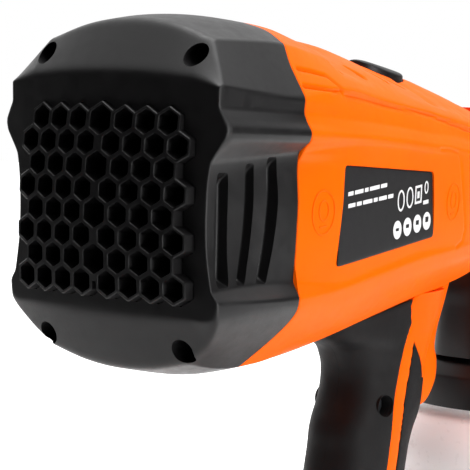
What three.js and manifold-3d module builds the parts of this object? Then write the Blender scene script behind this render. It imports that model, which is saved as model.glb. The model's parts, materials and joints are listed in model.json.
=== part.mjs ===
// Electric paint sprayer: a turbine gun with a screw-on paint container.
// Millimetres, +Z up. The gun's own frame has its origin at the centre of the intake grille, with +Y the way it sprays
// and +X to the operator's right; the row's origin is the centre of the container's base.
import * as THREE from 'three'
import { mergeVertices } from 'three/addons/utils/BufferGeometryUtils.js'
import Module from 'manifold-3d'

const wasm = await Module()
wasm.setup()

// ---- driving dimensions ----
const JAR_Y = 260 // grille centre to the container's axis
const JAR_Z = -200 // ground, below the grille centre
const AXIS_Z = 6 // spray axis above the grille centre
const MOTOR_Z = 3
const GAP = 0.3 // between neighbouring pieces
const WALL = 2.6
const PITCH = 8 // honeycomb
const CELL = 6.6 // honeycomb hole, flat to flat
const WIDE_CELL = 1.22 // the middle cells are larger
const SCREWS = [[29.4, 44.2], [-29.4, 44.2], [26.9, -43], [-26.9, -43]] // rear cover screws, x and z
const SCREW_HOLE_R = 3.6
const NOSE_Y = 216
const NOSE_R = 25.6
const HINGE = [190, 22] // trigger pin, y and z
const LID_R = 41
const JAR_R = 47.5
const JAR_TOP = -88
const SEG = 16

const COLOURS = {
  orange: [0xff7f14, 0.42, 0], black: [0x2b2a2c, 0.5, 0], grip: [0x222123, 0.62, 0], label: [0x3a383b, 0.45, 0],
  lock: [0xd8420e, 0.45, 0], foam: [0x4a4a4c, 0.95, 0], jar: [0xf3eeec, 0.35, 0], steel: [0xb9bcc0, 0.3, 1],
  dark_steel: [0x6e7278, 0.4, 1], copper: [0xb8733a, 0.4, 1], brass: [0xb89a4a, 0.3, 1], clear: [0xe6e8e8, 0.3, 0],
  inner: [0x55585c, 0.6, 0], seal: [0x1c1c1e, 0.8, 0], white_part: [0xe4e2dc, 0.5, 0],
}

// ---- solids ----
function solid(geometry) {
  let g = geometry.clone()
  for (const name of Object.keys(g.attributes)) if (name !== 'position') g.deleteAttribute(name)
  g = mergeVertices(g, 1e-4)
  const mesh = new wasm.Mesh({ numProp: 3, vertProperties: new Float32Array(g.attributes.position.array),
    triVerts: new Uint32Array(g.index.array) })
  return new wasm.Manifold(mesh)
}

function geometryOf(body) {
  const mesh = body.getMesh()
  const g = new THREE.BufferGeometry()
  g.setAttribute('position', new THREE.BufferAttribute(new Float32Array(mesh.vertProperties), 3))
  g.setIndex(new THREE.BufferAttribute(new Uint32Array(mesh.triVerts), 1))
  return g
}

function ringsToGeometry(rings) {
  const n = rings[0].length
  const points = rings.flat(2)
  const index = []
  const quad = (a, b, c, d) => index.push(a, b, c, a, c, d)
  for (let r = 0; r + 1 < rings.length; r++) {
    for (let i = 0; i < n; i++) quad(r * n + i, r * n + (i + 1) % n, (r + 1) * n + (i + 1) % n, (r + 1) * n + i)
  }
  const cap = (r, flip) => {
    const c = [0, 1, 2].map(k => rings[r].reduce((s, p) => s + p[k], 0) / n)
    const centre = points.length / 3
    points.push(...c)
    for (let i = 0; i < n; i++) {
      const a = r * n + i
      const b = r * n + (i + 1) % n
      index.push(...(flip ? [centre, b, a] : [centre, a, b]))
    }
  }
  cap(0, true)
  cap(rings.length - 1, false)
  const g = new THREE.BufferGeometry()
  g.setAttribute('position', new THREE.Float32BufferAttribute(points, 3))
  g.setIndex(index)
  return volume(g) < 0 ? flipped(g) : g
}

function volume(g) {
  const p = g.attributes.position
  const [a, b, c] = [0, 1, 2].map(() => new THREE.Vector3())
  let sum = 0
  for (let i = 0; i < g.index.count; i += 3) {
    a.fromBufferAttribute(p, g.index.getX(i))
    b.fromBufferAttribute(p, g.index.getX(i + 1))
    c.fromBufferAttribute(p, g.index.getX(i + 2))
    sum += a.dot(b.cross(c)) / 6
  }
  return sum
}

function flipped(g) {
  const out = g.clone()
  for (let i = 0; i < g.index.count; i += 3) {
    out.index.setX(i, g.index.getX(i + 1))
    out.index.setX(i + 1, g.index.getX(i))
  }
  return out
}

const loft = rings => solid(ringsToGeometry(rings))

// a box between two corners
function box(x0, x1, y0, y1, z0, z1) {
  return solid(new THREE.BoxGeometry(x1 - x0, y1 - y0, z1 - z0)
    .translate((x0 + x1) / 2, (y0 + y1) / 2, (z0 + z1) / 2))
}

// a body turned about an axis; profile is [radius, distance along the axis] and closes on itself
function turned(profile, axis, at, seg = SEG) {
  const points = profile.concat([profile[0]]).map(([r, d]) => new THREE.Vector2(Math.max(r, 0), d))
  const g = new THREE.LatheGeometry(points, seg)
  g.applyMatrix4(axis === 'z' ? new THREE.Matrix4().makeRotationX(Math.PI / 2)
    : axis === 'x' ? new THREE.Matrix4().makeRotationZ(-Math.PI / 2) : new THREE.Matrix4())
  g.translate(...at)
  const merged = mergeVertices(bare(g), 1e-4)
  return solid(volume(merged) < 0 ? flipped(merged) : merged)
}

function bare(g) {
  const out = g.clone()
  for (const name of Object.keys(out.attributes)) if (name !== 'position') out.deleteAttribute(name)
  return out
}

// a plain rod along an axis from d0 to d1, by radius, centred on at
function rod(r, d0, d1, axis, at, seg = SEG) {
  return turned([[0, d0], [r, d0], [r, d1], [0, d1]], axis, at, seg)
}

function pipe(r0, r1, d0, d1, axis, at, seg = SEG) {
  return turned([[r0, d0], [r1, d0], [r1, d1], [r0, d1]], axis, at, seg)
}

// an outline of [y, z] points, given a thickness from x0 to x1
function plate(outline, x0, x1) {
  const shape = new THREE.Shape(outline.map(([y, z]) => new THREE.Vector2(y, z)))
  const g = new THREE.ExtrudeGeometry(shape, { depth: x1 - x0, bevelEnabled: false })
  g.applyMatrix4(new THREE.Matrix4().makeBasis(
    new THREE.Vector3(0, 1, 0), new THREE.Vector3(0, 0, 1), new THREE.Vector3(1, 0, 0)))
  g.translate(x0, 0, 0)
  return solid(g)
}

function helix(r, wire, turns, d0, d1, axis, at, perTurn = 8) {
  const points = []
  for (let i = 0; i <= turns * perTurn; i++) {
    const t = i / (turns * perTurn)
    const a = t * turns * Math.PI * 2
    const d = d0 + (d1 - d0) * t
    const [u, v] = [r * Math.cos(a), r * Math.sin(a)]
    const p = axis === 'y' ? [u, d, v] : axis === 'z' ? [u, v, d] : [d, u, v]
    points.push(new THREE.Vector3(p[0] + at[0], p[1] + at[1], p[2] + at[2]))
  }
  return hose(points, wire, 5, points.length - 1)
}

function hose(points, r, sides = 8, steps = 24) {
  const path = new THREE.CatmullRomCurve3(points)
  const shape = new THREE.Shape()
  for (let i = 0; i < sides; i++) {
    const a = i / sides * Math.PI * 2
    if (i) shape.lineTo(r * Math.cos(a), r * Math.sin(a))
    else shape.moveTo(r * Math.cos(a), r * Math.sin(a))
  }
  const g = mergeVertices(bare(new THREE.ExtrudeGeometry(shape, { extrudePath: path, steps })), 1e-4)
  return solid(volume(g) < 0 ? flipped(g) : g)
}

// ---- the body's outline: right half of each section from the top centre to the bottom centre, as [x, z] ----
const FACE = [[0, 39], [18, 38.7], [31, 37.8], [41, 35.2], [41, 33.8], [40.9, 29], [42.2, 26.6], [43.8, 22.8], [43.2, 20],
  [38.6, 13], [37, 0], [37.2, -13], [38.8, -24], [40.6, -27], [40.2, -32.2], [31, -33.4], [19, -33.8], [9, -34],
  [0, -34]]
// the rim of the rear cover, each point with its own y
const RIM = [[0, 55.2, 12], [18, 53.4, 12], [32, 49.2, 12], [41.3, 35.4, 6.2], [41.2, 33.9, 6.2], [41.1, 29, 6.2],
  [42.6, 26.6, 6.8], [44.3, 22.8, 7.6], [43.8, 20, 7.4], [38.6, 13.5, 6.6], [37.2, 0, 6], [37.4, -13, 6.2],
  [39.2, -24.2, 6.8], [41.4, -27.4, 7.4], [41, -33, 8.4], [35.6, -40.6, 11], [27, -46.8, 12], [14, -49.8, 12],
  [0, -51, 12]]
const BODY = [
  [27, [[0, 57.6], [18, 55.7], [32.4, 49.7], [41.9, 34.4], [42.2, 33.4], [41.9, 28.9], [43.2, 26.4], [44.9, 22.8],
    [44.3, 20.1], [39, 15], [38.5, 0], [38.4, -12], [38.8, -23.2], [43.2, -27.4], [42.8, -30.5], [36.4, -40.5],
    [28, -49.4], [14, -52.8], [0, -53.4]]],
  [45, [[0, 57.8], [18, 55.9], [32.2, 50], [42.4, 34], [42.8, 32.8], [42.4, 28.8], [43.4, 26.2], [45.1, 22.8],
    [44.4, 20.2], [40.4, 16.8], [40.8, 0], [40.7, -11], [40.4, -22.8], [43.2, -27.4], [42.8, -30.5],
    [36.6, -40], [28, -49.2], [14, -52.8], [0, -53.8]]],
  [70, [[0, 57.6], [17, 53.2], [30, 47.4], [39.6, 37.6], [40.6, 32], [40.6, 28], [41.8, 25.4], [43, 22.2],
    [42.4, 20.6], [41.7, 19.4], [41.4, 0], [40.8, -13], [40, -24.6], [40.6, -26.4], [39.4, -31], [33.5, -40],
    [25, -46.8], [13, -51.8], [0, -53.4]]],
  [100, [[0, 54.1], [14, 49.4], [26, 44], [35.6, 35.4], [36.8, 30.4], [37.2, 26.8], [38.8, 24.4], [40, 21.8],
    [39.8, 20.4], [39.3, 19.2], [39.1, 0], [38.6, -11], [37.8, -20.6], [38.4, -22.4], [36.8, -28],
    [30.6, -36.6], [23, -42.6], [12, -48], [0, -50.6]]],
  [130, [[0, 49.1], [13, 44.6], [23.5, 39.8], [32.8, 32.4], [34.2, 28], [34.8, 25], [36.2, 22.8], [37.3, 20.4],
    [37.1, 19], [36.7, 17.8], [36.4, 0], [36, -9], [35.2, -16.6], [35.8, -18.4], [34.2, -24], [28.4, -31.6],
    [21, -37.6], [11, -42.8], [0, -45.4]]],
  [160, [[0, 45.8], [12, 40.8], [21, 36], [29.8, 30], [31.2, 26.2], [31.8, 23.2], [33.2, 21], [34.2, 18.8],
    [34.1, 17.4], [34, 16.4], [33.6, 0], [33.2, -8], [32.5, -14.6], [32.6, -16.2], [31, -21.4], [25.8, -27.6],
    [19, -32.9], [10, -37.6], [0, -40]]],
  [190, [[0, 39.4], [11, 36.6], [18.6, 32.4], [26.4, 26.2], [27.8, 23], [28.6, 20.6], [29.6, 18.6], [30.2, 16.8],
    [30.3, 15.4], [30.3, 14], [30, 0], [29.6, -6], [28.9, -11.4], [28.4, -13.4], [26.8, -18], [22.4, -23.8],
    [16.4, -28.8], [9, -33], [0, -35.2]]],
  [204, [[0, 36.8], [10, 34], [17, 30.2], [23.2, 25.2], [24.9, 22.2], [26, 19.8], [27, 17.6], [27.6, 15.6], [28, 13.6],
    [28.2, 11.4], [28, 1], [27.4, -5], [26.5, -9.6], [25.8, -12.2], [23.8, -16.6], [19.6, -21.8], [14.4, -26],
    [8, -29.2], [0, -30.8]]],
  [NOSE_Y, nose(NOSE_R)],
]
// the cavity, in the same way
const CAVITY_FACE = [[0, 35.5], [28, 35], [34.4, 31.5], [33.6, 14], [33.4, 0], [33.6, -14], [34.4, -26],
  [27, -31], [0, -31.4]]
const CAVITY = [
  [15, [[0, 50.4], [26, 45.8], [36.6, 32.6], [34, 14], [33.8, 0], [34, -14], [36, -27], [22.6, -42.4], [0, -47]]],
  [45, [[0, 54.6], [28, 47.2], [38, 33], [37.8, 14], [37.8, 0], [36.6, -16], [37, -27], [25.6, -43], [0, -50.8]]],
  [70, [[0, 54], [25, 45.4], [36, 35], [38.4, 18], [38.2, 0], [37.4, -14], [36, -25], [23, -41.4], [0, -50]]],
  [100, [[0, 50.4], [22.5, 41.6], [32.4, 32.6], [36.2, 17], [36, 0], [35.4, -12], [33.6, -21.5], [20.6, -37.4],
    [0, -47.2]]],
  [130, [[0, 45.4], [20.5, 37.4], [29.8, 29.4], [33.6, 16], [33.4, 0], [32.8, -10], [31.2, -17], [18.6, -32.4],
    [0, -42]]],
  [160, [[0, 42], [18.4, 33.8], [27, 27.4], [31, 14], [30.6, 0], [30, -9], [28.6, -14.6], [16.6, -28.2], [0, -36.6]]],
  [190, [[0, 36], [16, 29.6], [23.6, 23.6], [27.2, 13], [27, 0], [26.4, -7], [24.6, -12], [14.2, -24], [0, -32]]],
  [NOSE_Y, nose(NOSE_R - 5.2, 9)],
  [NOSE_Y + 12, nose(NOSE_R - 5.2, 9)],
]

function nose(r, n = 19) {
  return Array.from({ length: n }, (_, i) => {
    const a = Math.PI / 2 - i / (n - 1) * Math.PI
    return [r * Math.cos(a), AXIS_Z + r * Math.sin(a)]
  })
}

function fullRing(half, y) {
  const right = half.map(([x, z]) => [x, y(x, z), z])
  const left = half.slice(1, -1).reverse().map(([x, z]) => [-x, y(x, z), z])
  return right.concat(left)
}

function rimRing() {
  const left = RIM.slice(1, -1).reverse().map(([x, z, y]) => [-x, y, z])
  return RIM.map(([x, z, y]) => [x, y, z]).concat(left)
}

const faceY = (x, z) => 3.5 - 0.045 * z + 0.0015 * x * x

function bodySolid() {
  const rings = [fullRing(FACE, faceY), rimRing()]
  for (const [y, half] of BODY) rings.push(fullRing(half, () => y))
  return loft(rings)
}

function cavitySolid() {
  const rings = [fullRing(CAVITY_FACE, (x, z) => faceY(x, z) + WALL + 0.4)]
  for (const [y, half] of CAVITY) rings.push(fullRing(half, () => y))
  return loft(rings)
}

// where the cover ends and the housing starts: level with the sides, and further forward over the crown
function seamY(x, z) {
  const t = THREE.MathUtils.smoothstep(z, 42, 54)
  const crown = 63.5 - 14.8 * Math.min(1, Math.abs(x) / 32) ** 1.15
  const low = THREE.MathUtils.smoothstep(-z, 30, 54)
  const side = 1.2 * THREE.MathUtils.smoothstep(32 - z, 0, 12) * (1 - low)
  return 45.5 * (1 - t) + crown * t - 9 * low + side
}

function behindSeam(shift) {
  const zs = [-70, -54, -42, -30, 20, 32, 42, 48, 54, 70]
  const xs = [-60, -32, -22, -11, 0, 11, 22, 32, 60]
  const rings = zs.map(z => {
    const front = xs.map(x => [x, seamY(x, z) + shift, z])
    return [[-60, -20, z], ...front, [60, -20, z]]
  })
  return loft(rings)
}

// ---- rear cover ----
function honeycomb(grow, y0, y1) {
  const cells = []
  for (let row = 0; row < 8; row++) {
    const z = (3.5 - row) * PITCH * Math.sqrt(3) / 2
    const half = row % 2 ? [0.5, 1.5, 2.5, 3.5] : [0, 1, 2, 3]
    for (const k of half) {
      for (const s of k ? [1, -1] : [1]) cells.push([s * (k + (k ? 0.123 : 0)) * PITCH, z, k === 0 ? WIDE_CELL : 1])
    }
  }
  return cells.map(([x, z, wide]) => hexagon((CELL / 2 * wide + grow) * 2 / Math.sqrt(3), x, z, y0, y1))
}

function hexagon(r, cx, cz, y0, y1) {
  const ring = y => Array.from({ length: 6 }, (_, i) => {
    const a = Math.PI / 6 + i * Math.PI / 3
    return [cx + r * Math.cos(a), y, cz + r * Math.sin(a)]
  })
  return loft([ring(y0), ring(y1)])
}

function unionAll(list) {
  return list.slice(1).reduce((sum, one) => sum.add(one), list[0])
}

// bends a plate to the shallow dish of the grille
function dished(body) {
  const g = geometryOf(body)
  const p = g.attributes.position
  for (let i = 0; i < p.count; i++) {
    p.setY(i, p.getY(i) + 0.00224 * p.getX(i) ** 2 + 0.00218 * p.getZ(i) ** 2)
  }
  return g
}

function grilleBlock(grow, y0, y1) {
  return unionAll(honeycomb(0.9 + grow, y0, y1)).add(box(-26 - grow, 26 + grow, y0, y1, -24 - grow, 24 + grow))
}

function intakeGrille() {
  const flange = box(-33.2, 33.2, 7.2, 9.2, -30, 30).subtract(box(-27, 27, 0, 20, -23, 23))
  const block = grilleBlock(0, -1.2, 9)
  const holes = unionAll(honeycomb(0, -3, 12))
  return dished(block.add(flange).subtract(holes))
}

function louvres() {
  const cuts = []
  for (const s of [1, -1]) {
    for (const [y0, y1, x] of [[7, 11.5, 34.9], [17, 22.4, 35.6], [29, 34.4, 37.2]]) {
      cuts.push(s > 0 ? box(x, 46, y0, y1, -15, 12.5) : box(-46, -x, y0, y1, -15, 12.5))
    }
  }
  return unionAll(cuts)
}

function coverBoss(x, z) {
  return rod(6, 8, 26, 'y', [x, 0, z], 12)
}

function rearCover(body, cavity) {
  let shell = body.intersect(behindSeam(-GAP / 2)).subtract(cavity)
  const bosses = unionAll(SCREWS.map(([x, z]) => coverBoss(x, z))).intersect(body)
  shell = shell.add(bosses).subtract(louvres())
  shell = shell.subtract(solid(dished(grilleBlock(GAP, -8, 12)))).subtract(box(-33.8, 33.8, 8.7, 20, -30.6, 30.6))
  for (const [x, z] of SCREWS) {
    shell = shell.subtract(rod(SCREW_HOLE_R, -4, 22, 'y', [x, 0, z], 16))
    shell = shell.subtract(rod(2.1, 20, 75, 'y', [x, 0, z], 8))
  }
  return shell
}

function coverScrew(x, z) {
  const head = turned([[0, 18.8], [1.4, 18.8], [3.3, 19], [3.4, 21.7], [1.6, 21.7], [1.6, 52], [0, 53.5]], 'y',
    [x, 0, z], 10)
  const slot = box(x - 0.5, x + 0.5, 18, 20.2, z - 2, z + 2).add(box(x - 2, x + 2, 18, 20.2, z - 0.5, z + 0.5))
  return head.subtract(slot)
}

// ---- handle ----
// [z, centre y, half length, half width]
const HANDLE = [
  [-30, 158, 40, 15], [-44, 155.5, 37.5, 15.2], [-50, 155.2, 32.8, 15.3], [-53.5, 157.45, 27.95, 15.3],
  [-57, 157.8, 25.2, 15.4], [-60, 157.95, 23.65, 15.4], [-64, 157.9, 22.7, 15.5], [-70, 157.2, 22.6, 15.5],
  [-76, 155.7, 23.5, 15.5], [-80, 153.9, 23.7, 15.5], [-84, 152, 22.8, 15.5], [-90, 150.4, 21.5, 15.5],
  [-97, 149, 21.2, 15.5], [-115, 145.1, 21.7, 15.7], [-140, 139.2, 22.2, 16], [-165, 133.4, 24.2, 16.8],
  [-182, 130.6, 26.8, 18.2], [-192, 129.6, 28.8, 19.4], [-197, 129.4, 29.2, 19.6], [-200, 129.4, 28.2, 18.8],
]

function handleSolid(inset, z0, z1, n = 16) {
  const deep = inset > 4
  const rows = HANDLE.filter(([z], i) => z <= z0 && z >= z1 && (!deep || i % 3 === 0 || z === z1 || z < -180))
  return loft(rows.map(([z, yc, a, b]) => Array.from({ length: n }, (_, i) => {
    const t = i / n * Math.PI * 2
    const [c, s] = [Math.cos(t), Math.sin(t)]
    const p = 2 / 2.5
    return [Math.sign(c) * Math.abs(c) ** p * (b - inset), yc + Math.sign(s) * Math.abs(s) ** p * (a - inset), z]
  })))
}

// side view of the orange stripe that stays bare between the grips: rear and front edges
const STRIPE_REAR = [[163.5, -42], [160.4, -45.6], [156.8, -49.6], [154.6, -54.1], [152.6, -60.5], [151, -67],
  [149.6, -75.2], [148.7, -84.4], [147, -96], [142, -115], [135.6, -140], [130.4, -165], [127.4, -184]]
const STRIPE_FRONT = [[133.8, -184], [136.6, -165], [141.6, -140], [148, -115], [153.2, -96.5], [154.3, -89.3],
  [155.6, -80], [156.6, -71.6], [157.9, -66], [159.5, -60], [160.6, -55], [161.4, -51.5]]
const WEB = [[162.9, -53.7], [166.3, -57.7], [168.6, -61], [178, -62], [196, -62], [196, -34], [162, -36]]
const TRIGGER_POCKET = [166, 206, -86, -20] // y0, y1, z0, z1

function stripeSolid(grow) {
  const rear = STRIPE_REAR.map(([y, z]) => [y - grow, z])
  const front = STRIPE_FRONT.map(([y, z]) => (z > -52 ? [y, z - 3 * grow] : [y + grow, z]))
  const outline = [...rear, ...front, ...WEB.map(([y, z]) => [y - (z < -50 && y < 170 ? 0.6 * grow : 0),
    z - (z < -50 ? grow : 0)])]
  return plate(outline.map(([y, z]) => [y, z === -184 ? z - grow : z]), -30, 30)
}

function underBody(grow) {
  // everything above the line where the grips meet the body's belly
  return plate([[90, -49 - grow], [100, -47 - grow], [136, -40 - grow], [162, -35.5 - grow],
    [182, -31.5 - grow], [215, -24 - grow], [215, 60], [90, 60]], -40, 40)
}

function triggerPocket() {
  const [y0, y1, z0, z1] = TRIGGER_POCKET
  return box(-8.4, 8.4, y0, y1, z0, z1)
}

function handleGrips(body) {
  const skin = handleSolid(0, -30, -200).subtract(handleSolid(2.2, -30, -200).subtract(footBlock(GAP)))
  const noFoot = skin.subtract(underBody(GAP)).subtract(body.translate([0, 0, -GAP])).subtract(stripeSolid(GAP))
    .subtract(triggerPocket()).subtract(box(-40, 40, 60, 240, -220, -184.6))
  const rearSide = plate([[60, -20], ...STRIPE_REAR, [126, -200], [60, -200]], -40, 40)
  const rear = noFoot.intersect(rearSide)
  const front = noFoot.subtract(rearSide)
  return {
    right: rear.intersect(box(GAP / 2, 60, 60, 240, -220, 0)),
    left: rear.intersect(box(-60, -GAP / 2, 60, 240, -220, 0)),
    front: largest(front),
  }
}

function footBlock(grow) {
  return box(-40, 40, 60, 240, -230, -184.6 - grow)
}

function largest(body) {
  const parts = body.decompose()
  return parts.reduce((best, one) => (one.volume() > best.volume() ? one : best), parts[0])
}

function handleCore() {
  const core = handleSolid(2.5, -30, -182).add(handleSolid(0, -30, -182).intersect(stripeSolid(0)))
  const hollow = handleSolid(5, -30, -182)
  return core.subtract(hollow)
}

function footPiece() {
  const shell = handleSolid(0, -165, -200).intersect(box(-40, 40, 60, 240, -210, -184.9))
  const hollow = handleSolid(3, -165, -200).intersect(box(-40, 40, 60, 240, -194, -170))
  const socket = rod(8.3, -202, -180, 'z', [0, 128, 0], 20)
  return shell.subtract(hollow).subtract(socket)
}

function cableInlet() {
  const outer = turned([[4.4, -199.2], [7, -199.2], [8, -198], [8, -188], [9.6, -187.6], [9.6, -185], [4.4, -185]],
    'z', [0, 128, 0], 20)
  return outer
}

// ---- housing ----
function housing(side, body, cavity) {
  const half = side > 0 ? box(GAP / 2, 80, -10, 300, -230, 90) : box(-80, -GAP / 2, -10, 300, -230, 90)
  let shell = body.subtract(behindSeam(GAP / 2)).subtract(cavity)
  shell = shell.add(pipe(NOSE_R - 5.2, NOSE_R - 3, NOSE_Y - 1, NOSE_Y + 10, 'y', [0, 0, AXIS_Z], 24))
  const core = handleCore().subtract(bodyRoom())
  shell = shell.add(core)
  for (const [x, z] of SCREWS) {
    const pillar = rod(5, 46.4, 62, 'y', [x, 0, z], 10).intersect(body).subtract(behindSeam(GAP / 2))
    shell = shell.add(pillar)
  }
  const boss = side > 0 ? rod(4.6, 17.2, 30, 'x', [0, ...HINGE], 14) : rod(4.6, -30, -17.2, 'x', [0, ...HINGE], 14)
  shell = shell.add(boss.intersect(body)).subtract(rod(2.4, -20.6, 20.6, 'x', [0, ...HINGE], 14))
  shell = shell.add(box(-34, 34, 141, 159, 31, 33.2).intersect(body)).subtract(rod(3, 30, 34, 'z', [0, 150, 0], 12))
  shell = shell.subtract(handleMouth()).subtract(triggerPocket())
  for (const [x, z] of SCREWS) shell = shell.subtract(rod(2, 40, 55, 'y', [x, 0, z], 8))
  shell = shell.subtract(buttonWell()).subtract(labelRecess(side))
  for (const [y, z, r] of HANDLE_SCREWS) shell = shell.subtract(rod(r + 0.3, -40, 40, 'x', [0, y, z], 14))
  return largest(shell.intersect(half))
}

function bodyRoom() {
  return cavitySolid()
}

function handleMouth() {
  // lets the handle's hollow run up into the body
  return handleSolid(5, -30, -62)
}

const HANDLE_SCREWS = [[145, -74.2, 3.95], [128.6, -150, 3.95]]
// the label's corners: rear top, rear bottom, front bottom, front top, as [y, z]
const LABEL = [[71.3, 13.2], [69.4, -19], [137, -11.2], [133.9, 11.3]]

function panelX(y) {
  return 41.4 - (y - 70) * 0.0836
}

function labelBlock(side, grow, depth) {
  const lift = grow ? 3 : -0.4
  const ring = d => LABEL.map(([y, z], i) => {
    const wide = y + (i < 2 ? -grow : grow)
    return [side * (panelX(wide) + d), wide, z + (i === 0 || i === 3 ? grow : -grow)]
  })
  return loft([ring(lift), ring(-depth)])
}

const labelRecess = side => labelBlock(side, 0.2, 1.2)
const labelPlate = side => labelBlock(side, 0, 0.95)

// ---- release button ----
const BUTTON = { y0: 135, y1: 163, half: 7.8 }

function buttonOutline(grow) {
  const { y0, y1, half } = BUTTON
  return Array.from({ length: 24 }, (_, i) => {
    const a = i / 24 * Math.PI * 2
    const c = Math.cos(a)
    return [(half + grow) * Math.sin(a), (y0 + y1) / 2 + ((y1 - y0) / 2 + grow) * Math.sign(c) * Math.abs(c) ** 0.75]
  })
}

function topZ(x, y) {
  return 48.6 - Math.max(0, y - 134) * 0.128 - 0.034 * x * x
}

function buttonSolid(grow, low, high, crown) {
  const ring = (shrink, z) => buttonOutline(grow - shrink).map(([x, y]) => [x, y, topZ(x, y) + z])
  return loft(crown ? [ring(0, low), ring(0, high - 1), ring(0.9, high - 0.3), ring(3.6, high)]
    : [ring(0, low), ring(0, high)])
}

function buttonWell() {
  return buttonSolid(0.4, -9, 8, false)
}

function button() {
  const cap = buttonSolid(0, -4, 1.7, true)
  const stem = rod(2.4, 33.8, 44, 'z', [0, 150, 0], 12)
  return cap.add(stem)
}

// ---- trigger ----
function trigger() {
  const arm = plate([[184, 26], [191, 28], [196, 24], [197, -11], [197, -16], [181, -16], [181, -11], [184.6, -8],
    [184.6, 12]], 12.6, 16.6)
  const arms = arm.add(arm.mirror([1, 0, 0]))
  const bar = box(-16.6, 16.6, 181, 197, -16, -11)
  const cross = box(-16, 16, 189.3, 192.8, AXIS_Z - 6.5, AXIS_Z - 3.2)
  const prong = box(2.9, 6, 189.3, 192.8, AXIS_Z - 5, AXIS_Z + 3)
  const fork = cross.add(prong).add(prong.mirror([1, 0, 0]))
  return arms.add(bar).add(bladeSolid()).add(fork).subtract(rod(2.3, -30, 30, 'x', [0, ...HINGE], 14))
}

function bladeSolid() {
  // [z, rear y, front y, half width]
  const rows = [[-12, 182, 197, 7], [-22, 183, 201, 7.2], [-31, 183, 203, 7.4], [-37, 181.4, 200.6, 7.6], [-53, 178, 194, 7.8],
    [-57, 178.4, 193.6, 7.8], [-60, 178.8, 195, 7.8], [-71, 181, 193.6, 7.8], [-75, 181.4, 190, 7.4],
    [-78.5, 182, 186, 6.4]]
  return loft(rows.map(([z, y0, y1, b]) => {
    const r = Math.min(b, (y1 - y0) * 0.5)
    const front = Array.from({ length: 7 }, (_, i) => {
      const a = -Math.PI / 2 + i / 6 * Math.PI
      return [b * Math.sin(a), y1 - r + r * Math.cos(a) ** 0.8, z]
    })
    return [...front, [b, y0 + 1, z], [b - 1, y0, z], [-b + 1, y0, z], [-b, y0 + 1, z]]
  }))
}

function hingePin(side) {
  return side > 0 ? rod(2.1, 12.2, 20.3, 'x', [0, ...HINGE], 14) : rod(2.1, -20.3, -12.2, 'x', [0, ...HINGE], 14)
}

// ---- drive ----
function turbineCase(front) {
  const at = [0, 0, MOTOR_Z]
  if (front) {
    return turned([[33, 38.3], [33, 54], [30, 56], [14, 56], [14, 53.4], [28.8, 53.4], [30.4, 52], [30.4, 38.3]],
      'y', at, 20)
  }
  return turned([[30.4, 38], [30.4, 27.6], [28.8, 26.6], [11, 26.6], [11, 24], [30, 24], [33, 26], [33, 38]],
    'y', at, 24)
}

function impeller() {
  const at = [0, 0, MOTOR_Z]
  let body = turned([[0, 29], [5, 29], [6.5, 34], [8, 46.6], [29, 46.6], [29, 48.4], [0, 48.4]], 'y', at, 20)
  for (let i = 0; i < 7; i++) {
    const blade = curvedBlade(i / 7 * Math.PI * 2)
    body = body.add(blade)
  }
  return body
}

function curvedBlade(a0) {
  const outline = [0, 0.5, 1].map(t => [7 + 21.5 * t, a0 + 0.9 * t])
  const rings = outline.map(([r, a]) => {
    const [c, s] = [Math.cos(a), Math.sin(a)]
    const [nx, nz] = [-s * 0.6, c * 0.6]
    const low = 30.5 + (r - 7) * 0.14
    return [[r * c + nx, low, r * s + nz], [r * c - nx, low, r * s - nz], [r * c - nx, 47.2, r * s - nz],
      [r * c + nx, 47.2, r * s + nz]].map(([x, y, z]) => [x, y, z + MOTOR_Z])
  })
  return loft(rings)
}

function motorShaft() {
  return rod(2.5, 22, 118, 'y', [0, 0, MOTOR_Z], 14)
}

function armature() {
  const at = [0, 0, MOTOR_Z]
  let core = pipe(2.8, 13.6, 66, 92, 'y', at, 24)
  for (let i = 0; i < 6; i++) {
    const a = i / 6 * Math.PI * 2
    core = core.subtract(box(12, 20, 60, 100, -1.2, 1.2).rotate([0, a * 180 / Math.PI, 0]).translate([0, 0, MOTOR_Z]))
  }
  return core
}

function commutator() {
  return pipe(2.8, 7, 97, 107, 'y', [0, 0, MOTOR_Z], 20)
}

function motorCan() {
  const at = [0, 0, MOTOR_Z]
  const can = turned([[8, 59], [20, 59], [23, 62], [23, 110], [20.6, 110], [20.6, 63], [19, 61.4], [8, 61.4]],
    'y', at, 24)
  let out = can
  for (let i = 0; i < 4; i++) {
    out = out.subtract(box(-4, 4, 98, 106, 15, 30).rotate([0, i * 90 + 45, 0]).translate([0, 0, MOTOR_Z]))
  }
  return out
}

function fieldCore() {
  const at = [0, 0, MOTOR_Z]
  return pipe(14.4, 20.3, 65, 93, 'y', at, 24)
}

function endBell() {
  const at = [0, 0, MOTOR_Z]
  return turned([[5.4, 110.3], [23, 110.3], [23, 113], [9, 114.4], [9, 117], [5.4, 117]], 'y', at, 24)
}

function bearing(y0, y1, r) {
  return pipe(2.7, r, y0, y1, 'y', [0, 0, MOTOR_Z], 18)
}

function brush(side) {
  return side > 0 ? box(7.3, 19, 99, 105, MOTOR_Z - 2.6, MOTOR_Z + 2.6)
    : box(-19, -7.3, 99, 105, MOTOR_Z - 2.6, MOTOR_Z + 2.6)
}

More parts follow.
